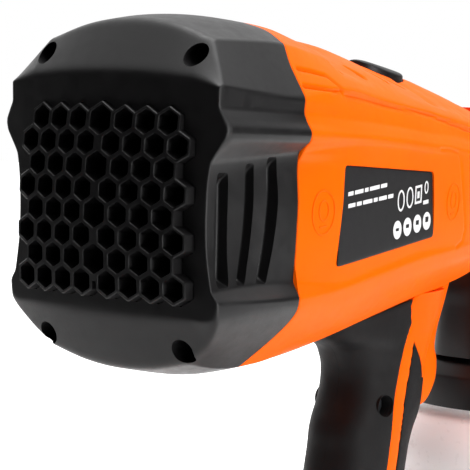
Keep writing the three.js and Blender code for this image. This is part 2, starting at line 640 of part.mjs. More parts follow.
function airDuct() {
  // bell behind, then a tube that passes above the needle to the nose
  const ring = (y, r, z, n = 16) => Array.from({ length: n }, (_, i) => {
    const a = i / n * Math.PI * 2
    return [r * Math.cos(a), y, z + r * Math.sin(a)]
  })
  const outer = loft([ring(122, 24, MOTOR_Z), ring(134, 23, 7), ring(158, 13, 18), ring(172, 8.4, 20.6),
    ring(200, 7.6, 20.2), ring(214, 7.6, 18.2), ring(222, 7.6, 18.2)])
  const inner = loft([ring(121, 22, MOTOR_Z), ring(134, 21, 7), ring(158, 11.4, 18), ring(172, 6.8, 20.6),
    ring(200, 6, 20.2), ring(214, 6, 18.2), ring(223, 6, 18.2)])
  return outer.subtract(inner)
}

function switchBody() {
  return box(-6, 6, 156, 173, -24, -6).subtract(box(-2, 2, 162, 175, -17, -13))
}

function switchPlunger() {
  return box(-1.7, 1.7, 167.4, 180.6, -16.7, -13.3)
}

function capacitor() {
  return solid(new THREE.BoxGeometry(12, 18, 24).rotateX(-0.26).translate(0, 144, -116))
}

// ---- spray head ----
function headBody() {
  const at = [0, 0, AXIS_Z]
  const barrel = turned([[0, 226.8], [26, 226.8], [26.4, 228], [26.4, 232.6], [24, 234.6], [22.4, 238],
    [22.4, 262], [21, 270], [17.6, 280], [16.4, 281], [16.4, 290], [0, 290]], 'y', at, 24)
  const neck = loft([[-4, 253.6, 25, 16], [-22.2, 253.6, 25, 17.4], [-25, 251, 27.6, 17.6], [-34, 249, 30, 18], [-44, 249, 30, 18],
    [-58, 250.6, 31, 19], [-64, 251.4, 31, 20]].map(([z, yc, a, b]) => superRing(z, yc, a, b, 3, 16)))
  const lidSocket = rod(12, -68, -60, 'z', [0, JAR_Y, 0], 20)
  const airRoom = turned([[0, 225], [19, 225], [19, 258], [13, 268], [13, 292], [0, 292]], 'y', at, 20)
  const core = turned([[0, 240], [7, 240], [7, 284], [0, 284]], 'y', at, 20)
    .add(rod(7, -8, 2, 'z', [0, JAR_Y, 0], 16))
    .add(box(-20, 20, 248, 256, AXIS_Z - 1.4, AXIS_Z + 1.4))
  const shell = barrel.add(neck).subtract(airRoom).add(core)
  const bore = rod(2.6, 238, 292, 'y', at, 16).add(rod(4.6, 236, 247, 'y', at, 16))
    .add(rod(4.4, 276, 292, 'y', at, 16))
  const feed = rod(3, -70, AXIS_Z, 'z', [0, JAR_Y, 0], 14)
  const bleed = rod(2, -70, -8, 'z', [0, JAR_Y - 22, 0], 12)
  return shell.subtract(lidSocket).subtract(bore).subtract(feed).subtract(bleed)
}

function superRing(z, yc, a, b, p, n) {
  return Array.from({ length: n }, (_, i) => {
    const t = i / n * Math.PI * 2
    const [c, s] = [Math.cos(t), Math.sin(t)]
    return [Math.sign(c) * Math.abs(c) ** (2 / p) * b, yc + Math.sign(s) * Math.abs(s) ** (2 / p) * a, z]
  })
}

function lockRing() {
  const ring = turned([[23, NOSE_Y + 0.5], [26.4, NOSE_Y + 0.5], [27.4, NOSE_Y + 1.6], [27.4, NOSE_Y + 9],
    [26.6, NOSE_Y + 10.2], [23, NOSE_Y + 10.2]], 'y', [0, 0, AXIS_Z], 24)
  const lug = box(-6, 6, NOSE_Y + 1.6, NOSE_Y + 9, AXIS_Z + 26, AXIS_Z + 29.6)
  return ring.add(lug)
}

function needle() {
  const at = [0, 0, AXIS_Z]
  return turned([[0, 205.6], [2, 205.6], [2, 209.2], [2, 286], [1.6, 292], [0.5, 303], [0, 304.4]], 'y', at, 14)
    .add(rod(4.6, 183.4, 188.7, 'y', at, 14)).add(rod(2, 188, 207, 'y', at, 14))
    .add(rod(3.6, 208.2, 210.4, 'y', at, 14))
}

function packingNut() {
  return turned([[2.3, 234.6], [6, 234.6], [6, 239.6], [4.3, 239.7], [4.3, 246], [2.3, 246]], 'y',
    [0, 0, AXIS_Z], 6 * 3)
}

function fluidNozzle() {
  return turned([[4, 278], [4.2, 284.4], [8.4, 284.4], [8.6, 291], [5.6, 295.6], [3.4, 298.6], [2.7, 303.6], [1.2, 303.6],
    [2.6, 294], [2.6, 278]], 'y', [0, 0, AXIS_Z], 24)
}

function airCap() {
  const at = [0, 0, AXIS_Z]
  const dish = turned([[3.9, 300.6], [11, 297.4], [16.6, 294], [16.6, 291], [18.2, 291], [18.2, 296.6],
    [15.6, 297.4], [14.6, 300.6], [9, 303.4], [3.9, 303.4]], 'y', at, 20)
  const horn = plate([[301, 8.4], [303.4, 8.6], [310.6, 9.6], [311.6, 13.4], [308.4, 15.2], [301, 13.6]], -4, 4)
  const one = horn.translate([0, 0, AXIS_Z])
  const other = horn.mirror([0, 0, 1]).translate([0, 0, AXIS_Z])
  return dish.add(one).add(other)
}

function retainingRing() {
  const ring = turned([[16.9, 281.6], [21.4, 281.6], [22.4, 282.8], [22.4, 294], [20.6, 298.6], [16, 298.6],
    [16, 297.9], [18.7, 297.2], [18.7, 290.6], [16.9, 290.4]], 'y', [0, 0, AXIS_Z], 24)
  let out = ring
  for (let i = 0; i < 8; i++) {
    const rib = box(-1.6, 1.6, 283.4, 293.4, 21, 23.5).rotate([0, i * 45, 0]).translate([0, 0, AXIS_Z])
    out = out.add(rib)
  }
  return out
}

function flowKnob() {
  const [y, z] = [248, AXIS_Z + 23]
  let knob = turned([[0, z], [4, z], [4, z + 1.4], [9.6, z + 1.4], [10, z + 2], [9.4, z + 9.4], [8.4, z + 10.4],
    [0, z + 10.4]], 'z', [0, y, 0], 20)
  for (let i = 0; i < 10; i++) {
    const groove = rod(1, z + 2.6, z + 12, 'z', [10.2, 0, 0], 6).rotate([0, 0, i * 36]).translate([0, y, 0])
    knob = knob.subtract(groove)
  }
  return knob
}

// ---- lid and container ----
function lid() {
  const at = [0, JAR_Y, 0]
  const out = turned([[14, -64.4], [22, -64.4], [33.6, -64.8], [37.6, -66.4], [39.6, -69.6], [LID_R, -72],
    [LID_R, -84.6], [38.4, -84.6], [38.4, -70.6], [14, -67.6]], 'z', at, 24)
  const boss = turned([[8.2, -74], [12, -74], [12, -68], [15, -67], [15, -65], [11.4, -64.4], [11.4, -60.6],
    [8.2, -60.6]], 'z', at, 20)
  const valve = rod(4.2, -70, -62.6, 'z', [-29, JAR_Y - 6, 0], 14)
  return out.add(boss).add(valve).subtract(rod(2, -80, -60, 'z', [-29, JAR_Y - 6, 0], 12))
}

function gasket() {
  return pipe(31, 38, -73.6, -71.6, 'z', [0, JAR_Y, 0], 24)
}

function jar() {
  const at = [0, JAR_Y, 0]
  const outer = [[0, -200], [41, -200], [45.5, -198.4], [JAR_R, -194], [JAR_R, -104], [46.4, -97], [42.4, -90.4],
    [37.8, -87.4], [37.8, -73.9], [35.4, -73.9], [35.4, -89], [40.6, -92.6], [44.2, -98.4], [45.3, -104.4],
    [45.3, -192.6], [43.4, -196], [40, -197.4], [0, -197.4]]
  return turned(outer, 'z', at, 28)
}

function suctionTube() {
  const y = JAR_Y
  const top = new THREE.Vector3(0, y, -61)
  const points = [top, new THREE.Vector3(0, y, -90), new THREE.Vector3(0, y + 3, -130),
    new THREE.Vector3(0, y + 16, -168), new THREE.Vector3(0, y + 26, -190)]
  return hose(points, 5, 10, 8).subtract(hose([new THREE.Vector3(0, y, -56), ...points.slice(1, 4),
    new THREE.Vector3(0, y + 29, -196)], 3.2, 8, 8))
}

function airHose() {
  const y = JAR_Y
  const points = [[-29, y - 6, -61.8], [-30, y - 8, -52], [-31, y - 14, -40], [-28.4, y - 19, -27], [-23.4, y - 21, -19]]
  return hose(points.map(p => new THREE.Vector3(...p)), 3, 8, 8)
}

// ---- assembly ----
function meshOf(name, shape, look) {
  const geometry = shape.isBufferGeometry ? shape : geometryOf(shape)
  const [color, roughness, metalness] = COLOURS[look]
  const mesh = new THREE.Mesh(geometry, new THREE.MeshStandardMaterial({ color, roughness, metalness }))
  mesh.name = name
  return mesh
}

function assemble() {
  const gun = new THREE.Group()
  gun.name = 'sprayer'
  gun.position.set(0, -JAR_Y, -JAR_Z)
  const put = (name, shape, look) => gun.add(meshOf(name, shape, look))

  const body = bodySolid()
  const cavity = cavitySolid()
  put('rear_cover', rearCover(body, cavity), 'black')
  put('intake_grille', intakeGrille(), 'black')
  put('air_filter', dished(box(-33, 33, 10.2, 15.2, -28, 28)), 'foam')
  SCREWS.forEach(([x, z], i) => put(`cover_screw_${i + 1}`, coverScrew(x, z), 'dark_steel'))
  put('housing_right', housing(1, body, cavity), 'orange')
  put('housing_left', housing(-1, body, cavity), 'orange')
  put('label_plate', labelPlate(1), 'label')
  put('release_button', button(), 'black')
  put('button_spring', helix(3.9, 0.4, 3, 34.1, 39.8, 'z', [0, 150, 0]), 'steel')

  const grips = handleGrips(body)
  const holes = HANDLE_SCREWS.map(([y, z, r]) => rod(r, -40, 40, 'x', [0, y, z], 14))
  put('grip_right', largest(grips.right.subtract(unionAll(holes))), 'grip')
  put('grip_left', largest(grips.left.subtract(unionAll(holes))), 'grip')
  put('grip_front', grips.front, 'grip')
  HANDLE_SCREWS.forEach(([y, z], i) => put(`handle_screw_${i + 1}`, handleScrew(y, z), 'dark_steel'))
  put('handle_foot', footPiece(), 'black')
  put('cable_inlet', cableInlet(), 'seal')

  put('trigger', trigger(), 'orange')
  put('trigger_pin_right', hingePin(1), 'steel')
  put('trigger_pin_left', hingePin(-1), 'steel')
  put('switch_body', switchBody(), 'inner')
  put('switch_plunger', switchPlunger(), 'white_part')
  put('capacitor', capacitor(), 'inner')

  put('turbine_case_rear', turbineCase(false), 'inner')
  put('turbine_case_front', turbineCase(true), 'inner')
  put('impeller', impeller().subtract(rod(2.8, 0, 60, 'y', [0, 0, MOTOR_Z], 14)), 'white_part')
  put('motor_shaft', motorShaft(), 'steel')
  put('armature', armature(), 'copper')
  put('commutator', commutator(), 'brass')
  put('motor_can', motorCan(), 'dark_steel')
  put('field_core', fieldCore(), 'steel')
  put('bearing_rear', bearing(59.4, 61.2, 7.6), 'steel')
  put('bearing_front', bearing(111, 116, 5.1), 'steel')
  put('end_bell', endBell(), 'inner')
  put('brush_right', brush(1), 'brass')
  put('brush_left', brush(-1), 'brass')
  put('air_duct', airDuct(), 'inner')

  put('lock_ring', lockRing(), 'lock')
  put('head_body', headBody(), 'black')
  put('packing_nut', packingNut(), 'brass')
  put('needle', needle(), 'steel')
  put('needle_spring', helix(3.2, 0.4, 4, 211, 233.6, 'y', [0, 0, AXIS_Z]), 'steel')
  put('fluid_nozzle', fluidNozzle(), 'black')
  put('air_cap', airCap(), 'black')
  put('retaining_ring', retainingRing(), 'orange')
  put('flow_knob', flowKnob(), 'orange')
  put('air_hose', airHose(), 'clear')
  put('lid', lid(), 'black')
  put('lid_gasket', gasket(), 'seal')
  put('suction_tube', suctionTube(), 'clear')
  put('paint_container', jar(), 'jar')
  return gun
}

function handleScrew(y, z) {
  const half = handleHalfWidth(y, z)
  const depth = half - 5
  return turned([[0, -9], [1.5, -9], [1.5, depth - 2.6], [3.4, depth - 2.4], [3.4, depth], [1.2, depth], [1.2, depth - 1.2],
    [0, depth - 1.2]], 'x', [0, y, z], 10)
}

function handleHalfWidth(y, z) {
  return 15.5
}

export default assemble()
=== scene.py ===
import json
import math

import bpy
import numpy as np
from mathutils import Matrix, Vector


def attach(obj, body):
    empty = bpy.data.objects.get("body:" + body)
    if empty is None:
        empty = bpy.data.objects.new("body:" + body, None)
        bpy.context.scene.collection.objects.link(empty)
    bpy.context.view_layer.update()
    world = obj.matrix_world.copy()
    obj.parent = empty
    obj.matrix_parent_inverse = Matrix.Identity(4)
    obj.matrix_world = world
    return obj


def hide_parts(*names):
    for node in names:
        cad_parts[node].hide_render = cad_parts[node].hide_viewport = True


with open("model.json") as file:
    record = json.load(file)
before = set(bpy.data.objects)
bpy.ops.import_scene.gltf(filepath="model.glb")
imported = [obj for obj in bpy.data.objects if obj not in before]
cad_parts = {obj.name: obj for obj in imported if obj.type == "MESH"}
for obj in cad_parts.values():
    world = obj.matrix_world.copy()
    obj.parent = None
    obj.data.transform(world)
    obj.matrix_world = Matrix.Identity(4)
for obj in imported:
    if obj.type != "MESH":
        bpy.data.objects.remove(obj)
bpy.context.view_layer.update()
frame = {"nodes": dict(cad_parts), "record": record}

# The gun's own frame, in millimetres: +Y is the way it sprays, +X the operator's right, and the origin the
# centre of the intake grille. ORIGIN moves it to the row frame, which starts at the container's base.
ORIGIN = np.array([0.0, -260.0, 200.0])
JAR_Y, AXIS_Z, GAP = 260.0, 6.0, 0.3
PITCH, CELL, WIDE_CELL = 8.0, 6.6, 1.22
SCREWS = [(29.4, 44.2), (-29.4, 44.2), (26.9, -43.0), (-26.9, -43.0)]
HANDLE_SCREWS = [(145.0, -74.2, 3.95), (128.6, -150.0, 3.95)]
NOSE_Y, NOSE_R = 216.0, 25.6
HINGE = (190.0, 22.0)
FOOT_Z = -184.6


# ---- camera ----
def add_camera():
    forward = Vector((-0.60101, 0.79697, -0.06012)).normalized()
    flat_right = Vector((0.7984, 0.6021, 0.0)).normalized()
    flat_up = flat_right.cross(forward)
    roll = math.radians(2.51)
    right = flat_right * math.cos(roll) + flat_up * math.sin(roll)
    up = -flat_right * math.sin(roll) + flat_up * math.cos(roll)
    data = bpy.data.cameras.new("camera")
    data.lens, data.sensor_width = 136.1, 36.0
    camera = bpy.data.objects.new("camera", data)
    turn = Matrix((right, up, -forward)).transposed().to_4x4()
    camera.matrix_world = Matrix.Translation((0.3520, -0.6574, 0.2235)) @ turn
    bpy.context.scene.collection.objects.link(camera)
    bpy.context.scene.camera = camera


add_camera()


# ---- meshes ----
def smoothstep(low, high, value):
    t = np.clip((value - low) / (high - low), 0.0, 1.0)
    return t * t * (3 - 2 * t)


def eased(distance, width, depth):
    """The full depth at no distance, easing to nothing at width."""
    return depth * np.clip(1 - distance / width, 0, 1) ** 2


def signed_power(value, power):
    return np.sign(value) * np.abs(value) ** power


def add_mesh(name, points, faces):
    mesh = bpy.data.meshes.new(name)
    mesh.from_pydata(((np.asarray(points, float).reshape(-1, 3) + ORIGIN) / 1000.0).tolist(), [], faces)
    obj = bpy.data.objects.new(name, mesh)
    bpy.context.scene.collection.objects.link(obj)
    return obj


def loft(name, rings):
    """A closed solid through rings of equal length, each an array of points."""
    rings = np.asarray(rings, float)
    rows, n = rings.shape[:2]
    index = np.arange(rows * n).reshape(rows, n)
    a, b = index[:-1], index[1:]
    quads = np.stack([a, np.roll(a, -1, 1), np.roll(b, -1, 1), b], -1).reshape(-1, 4)
    points = np.concatenate([rings.reshape(-1, 3), rings[[0, -1]].mean(1)])
    first = [[rows * n, int(index[0, (i + 1) % n]), int(index[0, i])] for i in range(n)]
    last = [[rows * n + 1, int(index[-1, i]), int(index[-1, (i + 1) % n])] for i in range(n)]
    obj = add_mesh(name, points, quads.tolist() + first + last)
    return outward(obj)


def coordinates(mesh):
    co = np.zeros(len(mesh.vertices) * 3)
    mesh.vertices.foreach_get("co", co)
    return co.reshape(-1, 3)


def outward(obj):
    """Turns the faces of a closed mesh to face out."""
    mesh = obj.data
    mesh.calc_loop_triangles()
    co = coordinates(mesh)
    co = co - co.mean(0)
    tri = np.zeros(len(mesh.loop_triangles) * 3, int)
    mesh.loop_triangles.foreach_get("vertices", tri)
    p = co[tri.reshape(-1, 3)]
    if np.einsum("ij,ij->i", p[:, 0], np.cross(p[:, 1], p[:, 2])).sum() < 0:
        mesh.flip_normals()
    return obj


def sleeve(name, rings):
    """A closed solid whose rings also run round, such as a washer or a pipe."""
    rings = np.asarray(rings, float)
    rows, n = rings.shape[:2]
    index = np.arange(rows * n).reshape(rows, n)
    b = np.roll(index, -1, 0)
    quads = np.stack([index, np.roll(index, -1, 1), np.roll(b, -1, 1), b], -1).reshape(-1, 4)
    return outward(add_mesh(name, rings, quads.tolist()))


def rounded(profile, radius, steps=4):
    """A closed polygon with each corner rounded, as far as its sides allow."""
    profile = np.asarray(profile, float)
    out = []
    n = len(profile)
    for i in range(n):
        p, a, b = profile[i], profile[i - 1], profile[(i + 1) % n]
        la, lb = np.linalg.norm(a - p), np.linalg.norm(b - p)
        r = radius[i] if isinstance(radius, (list, tuple)) else radius
        d = min(r, 0.42 * la, 0.42 * lb)
        if d < 0.02:
            out.append(p)
            continue
        pa, pb = p + (a - p) / la * d, p + (b - p) / lb * d
        for t in np.linspace(0, 1, steps):
            out.append(pa * (1 - t) ** 2 + p * 2 * t * (1 - t) + pb * t * t)
    return np.array(out)


def turned(name, profile, axis, at, segments=96, radius=0.4, steps=4):
    """A body turned about an axis through at, from a closed profile of (radius, distance along the axis).

    A list for radius rounds each corner by its own amount."""
    on_axis = [r <= 1e-6 for r, _ in profile]
    radii = radius if isinstance(radius, list) else [0.0 if axial else radius for axial in on_axis]
    line = rounded(profile, radii, steps)
    turn = np.arange(segments) / segments * 2 * math.pi
    if not any(on_axis):
        return sleeve(name, [spin(axis, at, r, d, turn) for r, d in line])
    # starts and ends on the axis
    start = next(i for i in range(len(line)) if line[i][0] <= 1e-6 and line[i - 1][0] <= 1e-6)
    line = np.roll(line, -start, 0)
    return loft(name, [spin(axis, at, max(r, 1e-3), d, turn) for r, d in line])


def spin(axis, at, r, d, turn):
    c, s, z = r * np.cos(turn), r * np.sin(turn), np.full(len(turn), float(d))
    rows = {"x": (z, c, s), "y": (s, z, c), "z": (c, s, z)}[axis]
    return np.stack(rows, -1) + np.asarray(at, float)


def rod(name, r, d0, d1, axis, at, segments=64, radius=0.0):
    return turned(name, [(0, d0), (r, d0), (r, d1), (0, d1)], axis, at, segments, radius)


def block(name, x0, x1, y0, y1, z0, z1, radius=0.0):
    """A box, or with a radius one whose upright corners are round."""
    outline = rounded([(x0, y0), (x1, y0), (x1, y1), (x0, y1)], radius, 6)
    return loft(name, [[(x, y, z) for x, y in outline] for z in (z0, z1)])


def prism(name, outline, x0, x1, radius=0.0):
    """An outline of (y, z) points with a thickness from x0 to x1."""
    line = rounded(outline, radius)
    return loft(name, [[(x, y, z) for y, z in line] for x in (x0, x1)])


def boolean(base, other, operation="DIFFERENCE", keep=False):
    modifier = base.modifiers.new("boolean", "BOOLEAN")
    modifier.operation, modifier.solver, modifier.object = operation, "MANIFOLD", other
    bpy.context.view_layer.update()
    depsgraph = bpy.context.evaluated_depsgraph_get()
    mesh = bpy.data.meshes.new_from_object(base.evaluated_get(depsgraph))
    base.modifiers.clear()
    old, base.data = base.data, mesh
    bpy.data.meshes.remove(old)
    if not keep:
        bpy.data.objects.remove(other)
    return base


def cut(base, *others):
    for other in others:
        boolean(base, other)
    return base


def join(base, *others):
    for other in others:
        boolean(base, other, "UNION")
    return base


def half_space(side, gap, reach, low, high):
    """A block over the handle and body on one side of the middle plane."""
    x0, x1 = sorted((side * gap, side * reach))
    return block("half", x0, x1, 60, 240, low, high)


def copy_of(obj, name):
    new = bpy.data.objects.new(name, obj.data.copy())
    bpy.context.scene.collection.objects.link(new)
    return new


def mirrored(obj, name):
    new = copy_of(obj, name)
    new.data.transform(Matrix.Diagonal((-1, 1, 1, 1)))
    return outward(new)


def largest_part(obj):
    """Keeps the biggest connected part of a mesh."""
    mesh = obj.data
    n = len(mesh.vertices)
    edges = np.zeros(len(mesh.edges) * 2, int)
    mesh.edges.foreach_get("vertices", edges)
    edges = edges.reshape(-1, 2)
    label = np.arange(n)
    while True:
        low = np.minimum(label[edges[:, 0]], label[edges[:, 1]])
        new = label.copy()
        np.minimum.at(new, edges[:, 0], low)
        np.minimum.at(new, edges[:, 1], low)
        new = new[new]
        if (new == label).all():
            break
        label = new
    best = np.bincount(label).argmax()
    drop = set(np.nonzero(label != best)[0].tolist())
    if drop:
        faces = [list(p.vertices) for p in mesh.polygons if p.vertices[0] not in drop]
        keep = np.nonzero(label == best)[0]
        place = {int(old): i for i, old in enumerate(keep)}
        points = [mesh.vertices[int(i)].co[:] for i in keep]
        new = bpy.data.meshes.new(mesh.name)
        new.from_pydata(points, [], [[place[v] for v in f] for f in faces])
        obj.data = new
    return obj


def finish_piece(obj, body, material, nodes=(), angle=32):
    """Shades a piece, gives it its material and its place in the frame."""
    mesh = obj.data
    mesh.shade_smooth()
    mesh.set_sharp_from_angle(angle=math.radians(angle))
    mesh.materials.clear()
    mesh.materials.append(material)
    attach(obj, body)
    if nodes:
        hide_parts(*nodes)
    return obj


# ---- materials ----
class Nodes:
    """A material's node tree, built by short calls."""

    def __init__(self, name):
        self.material = bpy.data.materials.new(name)
        self.material.use_nodes = True
        self.tree = self.material.node_tree
        self.shader = self.tree.nodes["Principled BSDF"]
        self.coords = self.tree.nodes.new("ShaderNodeTexCoord").outputs["Object"]

    def add(self, kind, **values):
        node = self.tree.nodes.new(kind)
        for key, value in values.items():
            setattr(node, key, value)
        return node

    def link(self, a, b):
        self.tree.links.new(a, b)

    def noise(self, per_mm, detail=2.0, roughness=0.5, stretch=(1, 1, 1)):
        mapping = self.add("ShaderNodeMapping")
        mapping.inputs["Scale"].default_value = [s * 1000.0 * per_mm for s in stretch]
        self.link(self.coords, mapping.inputs["Vector"])
        node = self.add("ShaderNodeTexNoise")
        node.inputs["Scale"].default_value = 1.0
        node.inputs["Detail"].default_value = detail
        node.inputs["Roughness"].default_value = roughness
        self.link(mapping.outputs["Vector"], node.inputs["Vector"])
        return node.outputs["Fac"]

    def ranged(self, value, a, b, low=0.35, high=0.65):
        node = self.add("ShaderNodeMapRange")
        node.inputs["From Min"].default_value, node.inputs["From Max"].default_value = low, high
        node.inputs["To Min"].default_value, node.inputs["To Max"].default_value = a, b
        self.link(value, node.inputs["Value"])
        return node.outputs["Result"]

    def mixed(self, factor, a, b):
        node = self.add("ShaderNodeMix", data_type="RGBA")
        self.link(factor, node.inputs["Factor"])
        node.inputs[6].default_value, node.inputs[7].default_value = (*a, 1), (*b, 1)
        return node.outputs[2]

    def summed(self, a, b, weight):
        node = self.add("ShaderNodeMath", operation="MULTIPLY_ADD")
        self.link(b, node.inputs[0])
        node.inputs[1].default_value = weight
        self.link(a, node.inputs[2])
        return node.outputs[0]

    def bump(self, height, millimetres, strength=1.0):
        node = self.add("ShaderNodeBump")
        node.inputs["Strength"].default_value = strength
        node.inputs["Distance"].default_value = millimetres / 1000.0
        self.link(height, node.inputs["Height"])
        self.link(node.outputs["Normal"], self.shader.inputs["Normal"])


def srgb(r, g, b):
    shares = [c / 255 for c in (r, g, b)]
    return tuple(c / 12.92 if c <= 0.04045 else ((c + 0.055) / 1.055) ** 2.4 for c in shares)


def moulded(name, colour, rough, grain=0.02, per_mm=2.4, vary=0.05, spread=0.06, specular=0.5, metallic=0.0,
            coat=0.0,
            flow=(1, 1, 1)):
    """Moulded or machined stock: slow colour drift, a spread of gloss and a fine grain in millimetres."""
    n = Nodes(name)
    slow = n.noise(0.035, 3.0, 0.55)
    low = tuple(c * (1 - vary) for c in colour)
    high = tuple(min(1.0, c * (1 + vary)) for c in colour)
    n.link(n.mixed(n.ranged(slow, 0, 1), low, high), n.shader.inputs["Base Color"])
    gloss = n.summed(n.noise(0.25, 4.0, 0.6, flow), n.noise(per_mm, 2.0), 0.35)
    n.link(n.ranged(gloss, rough - spread, rough + spread, 0.45, 0.9), n.shader.inputs["Roughness"])
    n.bump(n.summed(n.noise(per_mm, 3.0, 0.6, flow), n.noise(per_mm * 0.3, 2.0), 0.4), grain)
    n.shader.inputs["Specular IOR Level"].default_value = specular
    n.shader.inputs["Metallic"].default_value = metallic
    n.shader.inputs["Coat Weight"].default_value = coat
    n.shader.inputs["Coat Roughness"].default_value = 0.3
    return n.material


def milky(name, colour, rough, clear):
    """A translucent plastic wall."""
    n = Nodes(name)
    slow = n.noise(0.03, 2.0)
    n.link(n.mixed(n.ranged(slow, 0, 1), tuple(c * 0.97 for c in colour), colour),
           n.shader.inputs["Base Color"])
    n.link(n.ranged(n.noise(0.4, 3.0), rough - 0.05, rough + 0.05), n.shader.inputs["Roughness"])
    n.shader.inputs["Subsurface Weight"].default_value = clear
    n.shader.inputs["Subsurface Radius"].default_value = (0.012, 0.011, 0.010)
    n.shader.inputs["Subsurface Scale"].default_value = 0.6
    n.bump(n.noise(1.2, 2.0), 0.01)
    return n.material


ORANGE = moulded("orange_plastic", srgb(255, 99, 0), 0.45, 0.012, 3.0, 0.035, 0.05, 0.05)
BLACK = moulded("black_plastic", srgb(17, 16, 17), 0.40, 0.030, 2.6, 0.07, 0.06, 0.34)
RUBBER = moulded("grip_rubber", srgb(12, 11, 12), 0.60, 0.040, 1.8, 0.08, 0.06, 0.2)
LABEL = moulded("label_face", srgb(30, 29, 30), 0.45, 0.006, 4.0, 0.03, 0.04, 0.22)
INK = moulded("label_ink", srgb(226, 226, 226), 0.5, 0.004, 4.0, 0.02, 0.03, 0.3)
# the lock ring's deep red-orange, darker and redder than the housing, is painted shade and painted light
# bounced between the orange parts in the gap at the nose
LOCK_PAINTED_SHADE = moulded("lock_plastic_painted_shade", srgb(226, 62, 10), 0.42, 0.015, 3.0, 0.04, 0.05, 0.45)
FOAM = moulded("filter_foam", srgb(30, 30, 31), 0.95, 0.5, 0.9, 0.2, 0.04, 0.1)
STEEL = moulded("steel", srgb(198, 200, 203), 0.28, 0.006, 2.0, 0.04, 0.08, 0.5, 1.0, 0.0, (1, 0.1, 1))
DARK_STEEL = moulded("dark_steel", srgb(120, 124, 130), 0.36, 0.010, 2.0, 0.06, 0.08, 0.5, 1.0)
COPPER = moulded("copper", srgb(196, 122, 70), 0.35, 0.015, 1.6, 0.08, 0.08, 0.5, 1.0)
BRASS = moulded("brass", srgb(200, 170, 96), 0.3, 0.008, 2.0, 0.05, 0.07, 0.5, 1.0)
INNER = moulded("inner_plastic", srgb(88, 91, 95), 0.55, 0.03, 2.0, 0.06, 0.06, 0.4)
SEAL = moulded("seal_rubber", srgb(30, 30, 32), 0.75, 0.03, 1.5, 0.08, 0.06, 0.25)
WHITE = moulded("white_plastic", srgb(232, 230, 224), 0.45, 0.01, 2.5, 0.03, 0.05, 0.45)
JAR = milky("container_plastic", srgb(255, 250, 249), 0.32, 0.4)
CLEAR = milky("hose_plastic", srgb(222, 226, 226), 0.25, 0.25)

CAD_LOOKS = {
    "dark_steel": DARK_STEEL, "steel": STEEL, "copper": COPPER, "brass": BRASS, "inner": INNER, "seal": SEAL,
    "white_part": WHITE, "clear": CLEAR, "foam": FOAM, "black": BLACK, "orange": ORANGE, "grip": RUBBER,
             "lock": LOCK_PAINTED_SHADE,
    "jar": JAR, "label": LABEL,
}


def dress_cad_nodes():
    slot_of = {s["node"]: s["material_slot"] for s in frame["record"]["subparts"] if s.get("material_slot")}
    for name, obj in frame["nodes"].items():
        material = CAD_LOOKS[slot_of.get(name, "inner")]
        if not obj.data.materials:
            obj.data.materials.append(material)
        for entry in obj.material_slots:
            entry.link = "OBJECT"
            entry.material = material


# ---- the body's skin ----
def nose_circle(r, count):
    """The right half of the nose's round section, from top to bottom, as (x, z)."""
    turn = np.linspace(math.pi / 2, -math.pi / 2, count)
    return [(r * math.cos(a), AXIS_Z + r * math.sin(a)) for a in turn]


# the right half of each section from the top centre to the bottom centre, as (x, z)
FACE = [(0, 39), (18, 38.7), (31, 37.8), (41, 35.2), (41, 33.8), (40.9, 29), (42.2, 26.6), (43.8, 22.8),
        (43.2, 20),
        (38.6, 13), (37, 0), (37.2, -13), (38.8, -24), (40.6, -27), (40.2, -32.2), (31, -33.4), (19, -33.8),
        (9, -34), (0, -34)]
